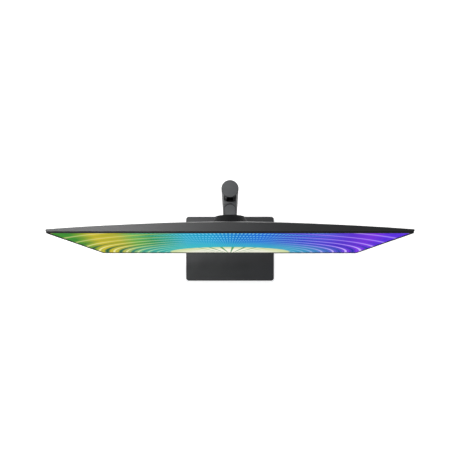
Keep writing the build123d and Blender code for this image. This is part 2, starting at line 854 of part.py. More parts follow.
with BuildPart() as head_screws:
    with BuildSketch(facing(bracket_disc_y)):
        with GridLocations(post_spacing_x, post_spacing_z, 2, 2):
            Circle(2 * post_screw_radius)
    extrude(amount=post_screw_head)
    with BuildSketch(facing(bracket_disc_y)):
        with GridLocations(post_spacing_x, post_spacing_z, 2, 2):
            Circle(post_screw_radius)
    extrude(amount=-post_screw_length)
save(head_screws, "head_screws")

# ---------------------------------------------------------------- pivot
plate_front_y = recess_floor_y + layer_gap
plate_back_y = plate_front_y + mount_plate_thickness
washer_front_y = bracket_disc_y - running - pivot_washer
retainer_front_y = disc_back_y + running
retainer_back_y = retainer_front_y + pivot_retainer

with BuildPart() as mount_plate:
    with BuildSketch(facing(plate_front_y)):
        Circle(mount_plate_radius)
        Circle(pivot_radius, mode=Mode.SUBTRACT)
        with PolarLocations(mount_screw_circle, 4, start_angle=45):
            Circle(mount_screw_radius + easy, mode=Mode.SUBTRACT)
    extrude(amount=-mount_plate_thickness)
    with BuildSketch(facing(plate_back_y)):
        with PolarLocations(pivot_stop_circle, 1, start_angle=135):
            Circle(pivot_stop_radius)
    extrude(amount=-(disc_back_y - plate_back_y - pivot_stop_gap))
save(mount_plate, "mount_plate")

with BuildPart() as pivot_shaft:
    with BuildSketch(facing(plate_front_y)):
        Circle(pivot_radius)
    extrude(amount=-(retainer_back_y - plate_front_y + pivot_tip))
save(pivot_shaft, "pivot_shaft")

with BuildPart() as pivot_friction_ring:
    with BuildSketch(facing(washer_front_y)):
        Circle(pivot_stop_circle - pivot_stop_radius - friction_ring_margin)
        Circle(pivot_radius + snug, mode=Mode.SUBTRACT)
        with GridLocations(post_spacing_x, post_spacing_z, 2, 2):
            Circle(2 * post_screw_radius + loose, mode=Mode.SUBTRACT)
    extrude(amount=-pivot_washer)
save(pivot_friction_ring, "pivot_friction_ring")

with BuildPart() as pivot_clip:
    with BuildSketch(facing(retainer_front_y)):
        Circle(pivot_retainer_radius)
        Circle(pivot_radius, mode=Mode.SUBTRACT)
    extrude(amount=-pivot_retainer)
save(pivot_clip, "pivot_clip")

# ---------------------------------------------------------------- panel housing
thickness_limit = max(thickness for share, thickness in spine)
bay_middle_z = (bay_bottom_z + bay_top_z) / 2


def housing_form(inset):
    """The outside of the panel, or with an inset the hollow inside it."""
    half = half_width - inset
    end_y = panel_front_y + end_thickness - inset
    with BuildPart() as form:
        for share, thickness in spine:
            with BuildSketch(level(panel_centre_z + share * (half_height - inset))):
                with BuildLine():
                    Polyline(
                        (-half, end_y),
                        (-half, panel_front_y),
                        (half, panel_front_y),
                        (half, end_y),
                    )
                    ThreePointArc(
                        (half, end_y),
                        (0, panel_front_y + thickness - inset),
                        (-half, end_y),
                    )
                make_face()
        loft()
        corner = panel_corner_radius - inset
        width = 2 * half
        height = panel_height - 2 * inset
        with BuildSketch(facing(panel_front_y - cut_overrun)):
            with GridLocations(width, height, 2, 2):
                Rectangle(2 * corner, 2 * corner)
            with GridLocations(width - 2 * corner, height - 2 * corner, 2, 2):
                Circle(corner, mode=Mode.SUBTRACT)
        extrude(amount=-2 * thickness_limit, mode=Mode.SUBTRACT)
    return form.part


housing_outside = housing_form(0)
housing_inside = housing_form(housing_wall)

with BuildPart() as back_pockets:
    with BuildSketch(facing(recess_floor_y - housing_wall)):
        Circle(recess_radius + housing_wall)
    extrude(amount=-thickness_limit)
    with BuildSketch(facing(jog_floor_y - housing_wall)):
        with Locations((jog_x, jog_z - panel_centre_z)):
            Circle(jog_recess_radius + housing_wall)
    extrude(amount=-thickness_limit)
    add(housing_outside, mode=Mode.INTERSECT)

with BuildPart() as rear_cover:
    add(housing_outside)
    split(bisect_by=Plane.XZ.offset(-frame_back_y), keep=Keep.BOTTOM)
    add(housing_inside, mode=Mode.SUBTRACT)
    add(back_pockets.part)
    with BuildSketch(facing(recess_floor_y)):
        Circle(recess_radius)
    extrude(amount=-thickness_limit, mode=Mode.SUBTRACT)
    with BuildSketch(facing(jog_floor_y)):
        with Locations((jog_x, jog_z - panel_centre_z)):
            Circle(jog_recess_radius)
    extrude(amount=-thickness_limit, mode=Mode.SUBTRACT)
    with BuildSketch(facing(frame_back_y)):
        with Locations((jog_x, jog_z - panel_centre_z)):
            Circle(jog_hole_radius)
        with PolarLocations(mount_screw_circle, 4, start_angle=45):
            Circle(mount_screw_radius + loose)
        with GridLocations(wall_mount_pitch, wall_mount_pitch, 2, 2):
            Circle(standoff_radius + loose)
        with Locations((0, bay_middle_z - panel_centre_z)):
            Rectangle(bay_width + 2 * bay_wall + easy, bay_height + 2 * bay_wall + easy)
        with Locations((lock_x, lock_z - panel_centre_z)):
            RectangleRounded(lock_width + 2 * easy, lock_height + 2 * easy, lock_corner)
        with Locations((0, vent_z - panel_centre_z)):
            with GridLocations(vent_pitch, 0, vent_count, 1):
                SlotOverall(vent_length, vent_width, rotation=90)
    extrude(amount=-2 * thickness_limit, mode=Mode.SUBTRACT)
save(rear_cover, "rear_cover")

with BuildPart() as front_frame:
    with BuildSketch(facing(panel_front_y)):
        RectangleRounded(panel_width, panel_height, panel_corner_radius)
        with Locations((0, cell_middle_z - panel_centre_z)):
            Rectangle(cell_width + 2 * loose, cell_height + 2 * loose, mode=Mode.SUBTRACT)
    extrude(amount=-front_frame_depth + layer_gap)
    with BuildSketch(facing(panel_front_y)):
        with Locations((0, -half_height)):
            Rectangle(2 * panel_width, chin_height, align=(Align.CENTER, Align.MIN))
    extrude(amount=-chin_thickness - layer_gap, mode=Mode.SUBTRACT)
    with BuildSketch(facing(panel_front_y)):
        with Locations((led_x, chin_height / 2 - half_height)):
            Circle(led_radius + snug)
    extrude(amount=-front_frame_depth, mode=Mode.SUBTRACT)
save(front_frame, "front_frame")

with BuildPart() as chin_strip:
    with BuildSketch(facing(panel_front_y)):
        RectangleRounded(panel_width, panel_height, panel_corner_radius)
        with Locations((0, -half_height)):
            Rectangle(
                panel_width,
                chin_height,
                align=(Align.CENTER, Align.MIN),
                mode=Mode.INTERSECT,
            )
        with Locations((led_x, chin_height / 2 - half_height)):
            Circle(led_radius + snug, mode=Mode.SUBTRACT)
    extrude(amount=-chin_thickness)
save(chin_strip, "chin_strip")

with BuildPart() as status_led:
    with BuildSketch(facing(panel_front_y)):
        with Locations((led_x, chin_height / 2 - half_height)):
            Circle(led_radius)
    extrude(amount=-front_frame_depth)
save(status_led, "status_led")

# ---------------------------------------------------------------- screen, front to back
def layer(width, height, y, thickness, label):
    """One flat sheet of the screen, centred on the liquid-crystal cell."""
    with BuildPart() as sheet:
        with BuildSketch(facing(y)):
            with Locations((0, cell_middle_z - panel_centre_z)):
                Rectangle(width, height)
        extrude(amount=-thickness)
    save(sheet, label)


guide_height = module_height - led_bar_height - 2 * layer_gap
layer(cell_width, cell_height, cell_front_y, cell_thickness, "lcd_cell")
layer(module_width, module_height, sheet_front_y, sheet_thickness, "diffuser_sheets")
layer(module_width, module_height, reflector_front_y, reflector_thickness, "reflector_sheet")

with BuildPart() as light_guide:
    with BuildSketch(facing(guide_front_y)):
        with Locations((0, cell_middle_z - panel_centre_z + module_height / 2)):
            Rectangle(module_width, guide_height, align=(Align.CENTER, Align.MAX))
    extrude(amount=-guide_thickness)
save(light_guide, "light_guide")

with BuildPart() as led_bar:
    with BuildSketch(facing(guide_front_y)):
        with Locations((0, cell_middle_z - panel_centre_z - module_height / 2)):
            Rectangle(module_width, led_bar_height, align=(Align.CENTER, Align.MIN))
    extrude(amount=-guide_thickness)
save(led_bar, "led_bar")

with BuildPart() as back_chassis:
    with BuildSketch(facing(chassis_front_y)):
        with Locations((0, cell_middle_z - panel_centre_z)):
            Rectangle(module_width, module_height)
    extrude(amount=-chassis_thickness)
save(back_chassis, "back_chassis")

bracket_front_y = chassis_back_y + layer_gap
bracket_back_y = bracket_front_y + bracket_thickness
with BuildPart() as wall_mount_bracket:
    with BuildSketch(facing(bracket_front_y)):
        RectangleRounded(bracket_width, bracket_width, bracket_corner)
    extrude(amount=-bracket_thickness)
    with BuildSketch(facing(bracket_back_y)):
        with GridLocations(wall_mount_pitch, wall_mount_pitch, 2, 2):
            Circle(standoff_radius)
    extrude(amount=-(wall_mount_face_y - bracket_back_y))
    with BuildSketch(facing(bracket_back_y)):
        with PolarLocations(mount_screw_circle, 4, start_angle=45):
            Circle(standoff_radius)
    extrude(amount=-(recess_floor_y - housing_wall - layer_gap - bracket_back_y))
    with BuildSketch(facing(wall_mount_face_y - thread_depth)):
        with GridLocations(wall_mount_pitch, wall_mount_pitch, 2, 2):
            Circle(wall_mount_thread_radius)
        with PolarLocations(mount_screw_circle, 4, start_angle=45):
            Circle(mount_screw_radius)
    extrude(amount=-2 * thread_depth, mode=Mode.SUBTRACT)
save(wall_mount_bracket, "wall_mount_bracket")

with BuildPart() as mount_screws:
    with BuildSketch(facing(plate_back_y)):
        with PolarLocations(mount_screw_circle, 4, start_angle=45):
            Circle(2 * mount_screw_radius)
            RegularPolygon(mount_screw_radius, 6, mode=Mode.SUBTRACT)
    extrude(amount=-0.8 * mount_screw_radius)
    with BuildSketch(facing(plate_back_y)):
        with PolarLocations(mount_screw_circle, 4, start_angle=45):
            Circle(mount_screw_radius)
    extrude(amount=mount_screw_length)
save(mount_screws, "mount_screws")

# ---------------------------------------------------------------- connector bay
with BuildPart() as port_bay:
    with BuildSketch(facing(bay_floor_y - bay_wall)):
        with Locations((0, bay_middle_z - panel_centre_z)):
            Rectangle(bay_width + 2 * bay_wall, bay_height + 2 * bay_wall)
    extrude(amount=-2 * thickness_limit)
    with BuildSketch(facing(bay_floor_y)):
        with Locations((0, bay_middle_z - panel_centre_z)):
            Rectangle(bay_width, bay_height)
    extrude(amount=-2 * thickness_limit, mode=Mode.SUBTRACT)
    add(housing_outside, mode=Mode.INTERSECT)
    with BuildSketch(level(bay_top_z)):
        for places, width, depth in socket_sizes.values():
            with Locations(*[(x, socket_y) for x in places]):
                Rectangle(width + 2 * easy, depth + 2 * easy)
    extrude(amount=bay_wall, mode=Mode.SUBTRACT)
save(port_bay, "port_bay")

socket_bottom_z = bay_top_z - socket_lip


def socket_shell(name):
    """Metal connector shells that open downwards, with the tongue inside each."""
    places, width, depth = socket_sizes[name]
    wall, tongue_width, tongue_depth = socket_tongues[name]
    with BuildPart() as socket:
        with BuildSketch(level(socket_bottom_z)):
            with Locations(*[(x, socket_y) for x in places]):
                Rectangle(width, depth)
        extrude(amount=socket_length)
        with BuildSketch(level(socket_bottom_z)):
            with Locations(*[(x, socket_y) for x in places]):
                Rectangle(width - 2 * wall, depth - 2 * wall)
                Rectangle(tongue_width, tongue_depth, mode=Mode.SUBTRACT)
        extrude(amount=socket_length - socket_back, mode=Mode.SUBTRACT)
    save(socket, name)


for socket_name in socket_tongues:
    socket_shell(socket_name)


def round_socket(name, bore_radius, pin_radius):
    """A square connector block with a round opening that faces down, and a pin if it has one."""
    places, width, depth = socket_sizes[name]
    with BuildPart() as socket:
        with BuildSketch(level(socket_bottom_z)):
            with Locations(*[(x, socket_y) for x in places]):
                Rectangle(width, depth)
        extrude(amount=socket_length)
        with BuildSketch(level(socket_bottom_z)):
            with Locations(*[(x, socket_y) for x in places]):
                Circle(bore_radius)
        extrude(amount=socket_length - socket_back, mode=Mode.SUBTRACT)
        if pin_radius:
            with BuildSketch(level(socket_bottom_z + power_pin_inset)):
                with Locations(*[(x, socket_y) for x in places]):
                    Circle(pin_radius)
            extrude(amount=socket_length - socket_back)
    save(socket, name)


round_socket("audio_socket", audio_bore_radius, 0)
round_socket("power_inlet", power_bore_radius, power_pin_radius)

socket_deepest = max(depth for places, width, depth in socket_sizes.values())
board_back_y = socket_y - socket_deepest / 2 - snug
with BuildPart() as main_board:
    with BuildSketch(facing(board_back_y)):
        with Locations((0, board_bottom_z - panel_centre_z)):
            Rectangle(board_width, board_height, align=(Align.CENTER, Align.MIN))
    extrude(amount=board_thickness)
save(main_board, "main_board")

with BuildPart() as backlight_board:
    with BuildSketch(facing(board_back_y)):
        with Locations((0, driver_z - panel_centre_z)):
            Rectangle(driver_width, driver_height)
    extrude(amount=board_thickness)
save(backlight_board, "backlight_board")

main_board_z = board_bottom_z + board_height / 2
with BuildPart() as board_posts:
    with BuildSketch(facing(chassis_back_y + layer_gap)):
        with Locations((0, main_board_z - panel_centre_z)):
            with GridLocations(board_width - post_inset, board_height - post_inset, 2, 2):
                Circle(board_post_radius)
        with Locations((0, driver_z - panel_centre_z)):
            with GridLocations(driver_width - post_inset, driver_height - post_inset, 2, 2):
                Circle(board_post_radius)
    extrude(amount=-(board_back_y - board_thickness - chassis_back_y - 2 * layer_gap))
save(board_posts, "board_posts")

with BuildPart() as speakers:
    with BuildSketch(facing(chassis_back_y + layer_gap)):
        with Locations((0, speaker_z - panel_centre_z)):
            with GridLocations(speaker_pitch, 0, 2, 1):
                RectangleRounded(speaker_width, speaker_height, speaker_corner)
    extrude(amount=-speaker_depth)
save(speakers, "speakers")

with BuildPart() as lock_plate:
    with BuildSketch(facing(lock_plate_y)):
        with Locations((lock_x, lock_z - panel_centre_z)):
            Rectangle(3 * lock_width, 4 * lock_height)
            Rectangle(lock_width, lock_height, mode=Mode.SUBTRACT)
    extrude(amount=-lock_plate_thickness)
save(lock_plate, "lock_plate")

# ---------------------------------------------------------------- joystick
jog_back_y = jog_floor_y - housing_wall - layer_gap
jog_front_y = chassis_back_y + layer_gap
jog_place = (jog_x, jog_z - panel_centre_z)

with BuildPart() as jog_housing:
    with BuildSketch(facing(jog_front_y)):
        with Locations(jog_place):
            Rectangle(jog_body, jog_body)
    extrude(amount=-(jog_back_y - jog_front_y))
    with BuildSketch(facing(jog_front_y + jog_floor)):
        with Locations(jog_place):
            Circle(jog_well_radius)
    extrude(amount=-jog_body, mode=Mode.SUBTRACT)
    with BuildSketch(Plane.YZ.offset(jog_x)):
        with Locations((jog_pivot_y, jog_z)):
            Circle(jog_pin_radius + running)
    extrude(amount=jog_body, both=True, mode=Mode.SUBTRACT)
save(jog_housing, "jog_housing")

with BuildPart() as jog_gimbal:
    with BuildSketch(facing(jog_pivot_y - jog_ring_half)):
        with Locations(jog_place):
            Circle(jog_ring_outer)
    extrude(amount=-2 * jog_ring_half)
    with BuildSketch(Plane.YZ.offset(jog_x)):
        with Locations((jog_pivot_y, jog_z)):
            Circle(jog_pin_radius)
    extrude(amount=jog_body / 2 - jog_pin_inset, both=True)
    with BuildSketch(facing(jog_pivot_y - 2 * jog_ring_half)):
        with Locations(jog_place):
            Circle(jog_ring_inner)
    extrude(amount=-4 * jog_ring_half, mode=Mode.SUBTRACT)
    with BuildSketch(level(jog_z)):
        with Locations((jog_x, jog_pivot_y)):
            Circle(jog_pin_radius + running)
    extrude(amount=jog_body, both=True, mode=Mode.SUBTRACT)
save(jog_gimbal, "jog_gimbal")

with BuildPart() as jog_stem:
    with BuildSketch(facing(jog_pivot_y - jog_stem_foot)):
        with Locations(jog_place):
            Circle(jog_stem_radius)
    extrude(amount=-(jog_stem_top_y - jog_pivot_y + jog_stem_foot))
    with BuildSketch(level(jog_z)):
        with Locations((jog_x, jog_pivot_y)):
            Circle(jog_pin_radius)
    extrude(amount=jog_ring_outer - easy, both=True)
save(jog_stem, "jog_stem")

with BuildPart() as jog_cap:
    with BuildSketch(facing(jog_cap_front_y)):
        with Locations(jog_place):
            Circle(jog_cap_radius)
    extrude(amount=-jog_cap_height)
    fillet(jog_cap.edges().group_by(Axis.Y)[-1], jog_cap_edge)
    with BuildSketch(facing(jog_cap_front_y)):
        with Locations(jog_place):
            Circle(jog_stem_radius + running)
    extrude(amount=-(jog_stem_top_y - jog_cap_front_y + jog_press + easy), mode=Mode.SUBTRACT)
save(jog_cap, "jog_cap")
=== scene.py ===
"""A desktop monitor with its screen lit, standing on a pale floor under soft studio light."""

import json
from math import acos, cos, e, pi, radians, sin

import bmesh
import bpy
from mathutils import Matrix, Vector


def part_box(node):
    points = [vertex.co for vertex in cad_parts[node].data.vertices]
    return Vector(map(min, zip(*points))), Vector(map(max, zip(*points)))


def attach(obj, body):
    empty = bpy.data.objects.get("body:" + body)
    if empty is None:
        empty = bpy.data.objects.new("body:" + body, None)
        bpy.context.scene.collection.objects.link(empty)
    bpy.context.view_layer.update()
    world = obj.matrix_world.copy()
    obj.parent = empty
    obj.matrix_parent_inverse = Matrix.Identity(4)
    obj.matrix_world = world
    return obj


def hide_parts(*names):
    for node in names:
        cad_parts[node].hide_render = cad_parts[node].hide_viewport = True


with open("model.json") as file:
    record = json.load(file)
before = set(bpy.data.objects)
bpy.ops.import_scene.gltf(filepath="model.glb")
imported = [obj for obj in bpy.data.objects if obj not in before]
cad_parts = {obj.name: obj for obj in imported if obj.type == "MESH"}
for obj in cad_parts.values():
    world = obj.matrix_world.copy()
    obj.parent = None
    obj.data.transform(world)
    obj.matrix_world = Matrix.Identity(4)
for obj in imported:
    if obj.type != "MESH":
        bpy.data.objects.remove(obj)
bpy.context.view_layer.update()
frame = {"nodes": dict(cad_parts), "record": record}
MM = 0.001


# ---------------------------------------------------------------- small helpers
def linear(code):
    """An sRGB hex colour as the linear RGBA that a shader takes."""
    channels = [int(code[i:i + 2], 16) / 255 for i in (1, 3, 5)]
    return [c / 12.92 if c <= 0.04045 else ((c + 0.055) / 1.055) ** 2.4 for c in channels] + [1.0]


def add(tree, kind, inputs=None, **settings):
    """Adds a node with its settings, feeds its inputs from values or sockets, returns its outputs."""
    made = tree.nodes.new("ShaderNode" + kind)
    for name, value in settings.items():
        setattr(made, name, value)
    for key, value in (inputs or {}).items():
        if isinstance(value, bpy.types.NodeSocket):
            tree.links.new(value, made.inputs[key])
        else:
            made.inputs[key].default_value = value
    return made.outputs


def material(name, base, roughness, metallic=0.0, ior=1.5, coat=0.0):
    """A named material with one Principled shader, and its node tree and shader to build on."""
    made = bpy.data.materials.new(name)
    made.use_nodes = True
    tree = made.node_tree
    shader = tree.nodes["Principled BSDF"]
    shader.inputs["Base Color"].default_value = linear(base)
    shader.inputs["Roughness"].default_value = roughness
    shader.inputs["Metallic"].default_value = metallic
    shader.inputs["Coat Weight"].default_value = coat
    if not metallic:
        shader.inputs["IOR"].default_value = ior
    return made, tree, shader


def grain(tree, shader, size_mm, height_mm, strength=1.0, detail=2.0):
    """An even random grain of a real size, as relief on the surface."""
    place = add(tree, "TexCoord")["Object"]
    noise = add(tree, "TexNoise", {"Vector": place, "Scale": 1 / (size_mm * MM), "Detail": detail})
    bump = add(tree, "Bump", {"Height": noise["Fac"], "Distance": height_mm * MM, "Strength": strength})
    tree.links.new(bump["Normal"], shader.inputs["Normal"])
    return place, noise


def blotches(tree, shader, place, dark, light, size_mm):
    """Slow drifts between two near colours, as paint and mouldings have."""
    cloud = add(tree, "TexNoise", {"Vector": place, "Scale": 1 / (size_mm * MM), "Detail": 3.0})
    spread = add(tree, "MapRange", {"Value": cloud["Fac"], "From Min": 0.35, "From Max": 0.65})
    tint = add(tree, "Mix", {"Factor": spread["Result"], "A": linear(dark), "B": linear(light)},
               data_type="RGBA")
    tree.links.new(tint["Result"], shader.inputs["Base Color"])


def varied_gloss(tree, shader, source, low, high):
    """Roughness that follows a pattern between two values."""
    span = add(tree, "MapRange", {"Value": source, "To Min": low, "To Max": high})
    tree.links.new(span["Result"], shader.inputs["Roughness"])


# ---------------------------------------------------------------- finishes
# The pits of spark erosion, brushed lines and the tooth of rubber are a tenth of a millimetre or
# less, too fine to show, so their sizes here are drawn several times coarser than the real ones.
def powder_coated_steel(name, dark, light):
    """Polyester powder baked on steel: a fine orange-peel skin that scatters highlights softly."""
    made, tree, shader = material(name, dark, 0.48)
    place, noise = grain(tree, shader, 1.1, 0.035, 0.9, 3.0)
    blotches(tree, shader, place, dark, light, 60.0)
    varied_gloss(tree, shader, noise["Fac"], 0.42, 0.56)
    return made


def spark_textured_abs(name, dark, light, size_mm=0.9, ior=1.5):
    """ABS moulded in a spark-eroded tool: a dry, even, pitted grain that keeps gloss low.

    A deeper grain also traps light that skims it, which a lower index of refraction gives the eye.
    """
    made, tree, shader = material(name, dark, 0.55, ior=ior)
    place, noise = grain(tree, shader, size_mm, 0.05, 1.0, 2.0)
    blotches(tree, shader, place, dark, light, 90.0)
    varied_gloss(tree, shader, noise["Fac"], 0.46, 0.66)
    return made


def satin_moulded_abs(name, dark, light):
    """ABS from a stoned tool: smooth, with a soft sheen and the faintest flow ripple."""
    made, tree, shader = material(name, dark, 0.42)
    place, noise = grain(tree, shader, 2.4, 0.02, 0.5, 2.0)
    blotches(tree, shader, place, dark, light, 140.0)
    varied_gloss(tree, shader, noise["Fac"], 0.37, 0.48)
    return made


def polished_black_abs(name):
    """Piano-black ABS from a mirror-polished tool: deep colour under a clear hard gloss."""
    made, tree, shader = material(name, "#0b0c0d", 0.14, coat=0.4)
    shader.inputs["Coat Roughness"].default_value = 0.06
    place, noise = grain(tree, shader, 30.0, 0.02, 0.3, 1.0)
    varied_gloss(tree, shader, noise["Fac"], 0.11, 0.2)
    return made


def brushed_steel(name, base, direction):
    """Sheet or bar steel with drawn lines 0.5 mm apart that stretch its highlights one way."""
    made, tree, shader = material(name, base, 0.32, metallic=1.0)
    place = add(tree, "TexCoord")["Object"]
    stretch = add(tree, "Mapping", {"Vector": place, "Scale": direction})
    lines = add(tree, "TexNoise", {"Vector": stretch["Vector"], "Scale": 1 / (0.5 * MM), "Detail": 2.0})
    bump = add(tree, "Bump", {"Height": lines["Fac"], "Distance": 0.01 * MM, "Strength": 0.6})
    tree.links.new(bump["Normal"], shader.inputs["Normal"])
    varied_gloss(tree, shader, lines["Fac"], 0.24, 0.42)
    return made


def zinc_plated_steel(name):
    """Bright zinc on steel: crystals a few millimetres across, each a slightly different grey."""
    made, tree, shader = material(name, "#b9bcbe", 0.34, metallic=1.0)
    place = add(tree, "TexCoord")["Object"]
    cells = add(tree, "TexVoronoi", {"Vector": place, "Scale": 1 / (2.5 * MM)})
    tint = add(tree, "Mix", {"Factor": cells["Distance"], "A": linear("#a9adb1"),
                             "B": linear("#c9cbcb")}, data_type="RGBA")
    tree.links.new(tint["Result"], shader.inputs["Base Color"])
    varied_gloss(tree, shader, cells["Distance"], 0.26, 0.42)
    return made


def blackened_steel(name):
    """Black-oxide screws: a thin dark skin, worn a little where the driver turns them."""
    made, tree, shader = material(name, "#1b1c1d", 0.38, metallic=0.8)
    place, noise = grain(tree, shader, 0.4, 0.01, 0.6, 2.0)
    blotches(tree, shader, place, "#161718", "#2c2d2f", 4.0)
    varied_gloss(tree, shader, noise["Fac"], 0.3, 0.48)
    return made


def nitrile_rubber(name):
    """Cut rubber: matt black with a fine tooth that grips the desk."""
    made, tree, shader = material(name, "#151515", 0.82)
    place, noise = grain(tree, shader, 0.6, 0.08, 1.0, 3.0)
    blotches(tree, shader, place, "#121212", "#1d1d1c", 12.0)
    varied_gloss(tree, shader, noise["Fac"], 0.75, 0.92)
    return made


def natural_acetal(name):
    """Turned or moulded acetal: milky white, waxy, and slightly see-through at its edges."""
    made, tree, shader = material(name, "#dcdad2", 0.35, ior=1.48)
    shader.inputs["Subsurface Weight"].default_value = 0.15
    shader.inputs["Subsurface Radius"].default_value = (0.002, 0.002, 0.0015)
    place, noise = grain(tree, shader, 1.5, 0.01, 0.4, 2.0)
    blotches(tree, shader, place, "#d6d3c9", "#e4e2db", 10.0)
    varied_gloss(tree, shader, noise["Fac"], 0.3, 0.45)
    return made


def masked_circuit_board(name):
    """Glass-epoxy board under green solder mask, with the copper tracks showing as faint ridges."""
    made, tree, shader = material(name, "#0d3a20", 0.3, coat=0.2)
    place = add(tree, "TexCoord")["Object"]
    tracks = add(tree, "TexBrick", {"Vector": place, "Scale": 1 / (12.0 * MM),
                                    "Color1": linear("#12482a"), "Color2": linear("#0d3a20"),
                                    "Mortar": linear("#1c6038"), "Mortar Size": 0.03})
    tree.links.new(tracks["Color"], shader.inputs["Base Color"])
    bump = add(tree, "Bump", {"Height": tracks["Fac"], "Distance": 0.035 * MM, "Strength": 0.8})
    tree.links.new(bump["Normal"], shader.inputs["Normal"])
    return made


def clear_acrylic(name):
    """Cast acrylic light guide: clear, with rows of printed white dots 2 mm apart."""
    made, tree, shader = material(name, "#e6eef0", 0.08, ior=1.49)
    place = add(tree, "TexCoord")["Object"]
    dots = add(tree, "TexVoronoi", {"Vector": place, "Scale": 1 / (2.0 * MM), "Randomness": 0.0})
    varied_gloss(tree, shader, dots["Distance"], 0.35, 0.06)
    return made


def optical_film(name, base):
    """Polyester film with a micro-lens coat: milky, even and faintly silky."""
    made, tree, shader = material(name, base, 0.5)
    place, noise = grain(tree, shader, 0.5, 0.01, 0.5, 1.0)
    varied_gloss(tree, shader, noise["Fac"], 0.42, 0.6)
    return made


def gold_flash(name):
    """Contacts flashed with gold over nickel: warm, smooth and bright."""
    made, tree, shader = material(name, "#d8b25a", 0.22, metallic=1.0)
    place, noise = grain(tree, shader, 0.3, 0.004, 0.5, 2.0)
    varied_gloss(tree, shader, noise["Fac"], 0.18, 0.3)
    return made


def light_pipe(name):
    """Milky polycarbonate lens over a small diode that shows a soft blue-white when on."""
    made, tree, shader = material(name, "#dfe8f2", 0.25, ior=1.58)
    place = add(tree, "TexCoord")["Object"]
    noise = add(tree, "TexNoise", {"Vector": place, "Scale": 1 / (0.8 * MM)})
    glow = add(tree, "Mix", {"Factor": noise["Fac"], "A": linear("#bcd6ff"), "B": linear("#f2f7ff")},
               data_type="RGBA")
    tree.links.new(glow["Result"], shader.inputs["Emission Color"])
    shader.inputs["Emission Strength"].default_value = 2.0
    return made


def printed_mark(name):
    """Pad-printed light grey ink: thin, matt and slightly uneven."""
    made, tree, shader = material(name, "#8f9294", 0.6)
    place, noise = grain(tree, shader, 0.5, 0.01, 0.6, 2.0)
    blotches(tree, shader, place, "#868a8c", "#9a9da0", 3.0)
    return made


# ---------------------------------------------------------------- the picture on the screen
# The lit picture's size and place, from the cell's own corners: its black border is 4.5 mm wide
# at the sides and top, and 6 mm at the bottom.
cell_low, cell_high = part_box("lcd_cell")
side_border = 4.5 * MM
bottom_border = 6.0 * MM
picture_left = cell_low[0] + side_border
picture_right = cell_high[0] - side_border
picture_bottom = cell_low[2] + bottom_border
picture_top = cell_high[2] - side_border
picture_height = picture_top - picture_bottom
picture_middle = (picture_left + picture_right) / 2

# The picture's design: lengths are in picture heights, rates are per e-fold of the distance from
# the fan's centre, counts of spokes and ribs are per radian, and each hue has its place across the
# picture, from 0 at the left to 1 at the right.
PICTURE_HALF = (picture_right - picture_left) / 2 / picture_height
HUE_LEAN = 0.22
FAN_DROP = 0.12
ARCH_RATE = 9.0
THREADS_PER_ARCH = 5.0
DOT_SPOKES = 56.0
DOT_ROWS = 11.0
LENS_HALF_WIDTH = 0.42
LENS_HEIGHT = 0.36
LENS_RIBS = 40.0
HUES = [(0.0, "#2c8c00"), (0.03, "#78a000"), (0.07, "#c8b800"), (0.14, "#b4b000"),
        (0.19, "#6cae30"), (0.245, "#1c9440"), (0.30, "#0f9c84"), (0.36, "#22a4c4"),
        (0.44, "#1c9cd0"), (0.52, "#0c78cc"), (0.60, "#1468d4"), (0.67, "#2050c8"),
        (0.74, "#2434cc"), (0.81, "#4a30d4"), (0.88, "#5414d0"), (0.95, "#7414e0"),
        (1.0, "#5408e0")]


def leaning_hues(tree, across, up):
    """The picture's colours from left to right, leaning outwards as they rise."""
    lean = add(tree, "Math", {0: up, 1: 0.5}, operation="SUBTRACT")["Value"]
    leaning = add(tree, "Math", {0: lean, 1: HUE_LEAN, 2: 1.0}, operation="MULTIPLY_ADD")["Value"]
    leant = add(tree, "Math", {0: across, 1: leaning}, operation="MULTIPLY")["Value"]
    share = add(tree, "MapRange", {"Value": leant, "From Min": -PICTURE_HALF, "From Max": PICTURE_HALF})
    hues = tree.nodes.new("ShaderNodeValToRGB")
    hues.color_ramp.elements[0].color = linear(HUES[0][1])
    hues.color_ramp.elements[1].color = linear(HUES[-1][1])
    for position, code in HUES[1:-1]:
        hues.color_ramp.elements.new(position).color = linear(code)
    tree.links.new(share["Result"], hues.inputs["Fac"])
    return hues.outputs["Color"]


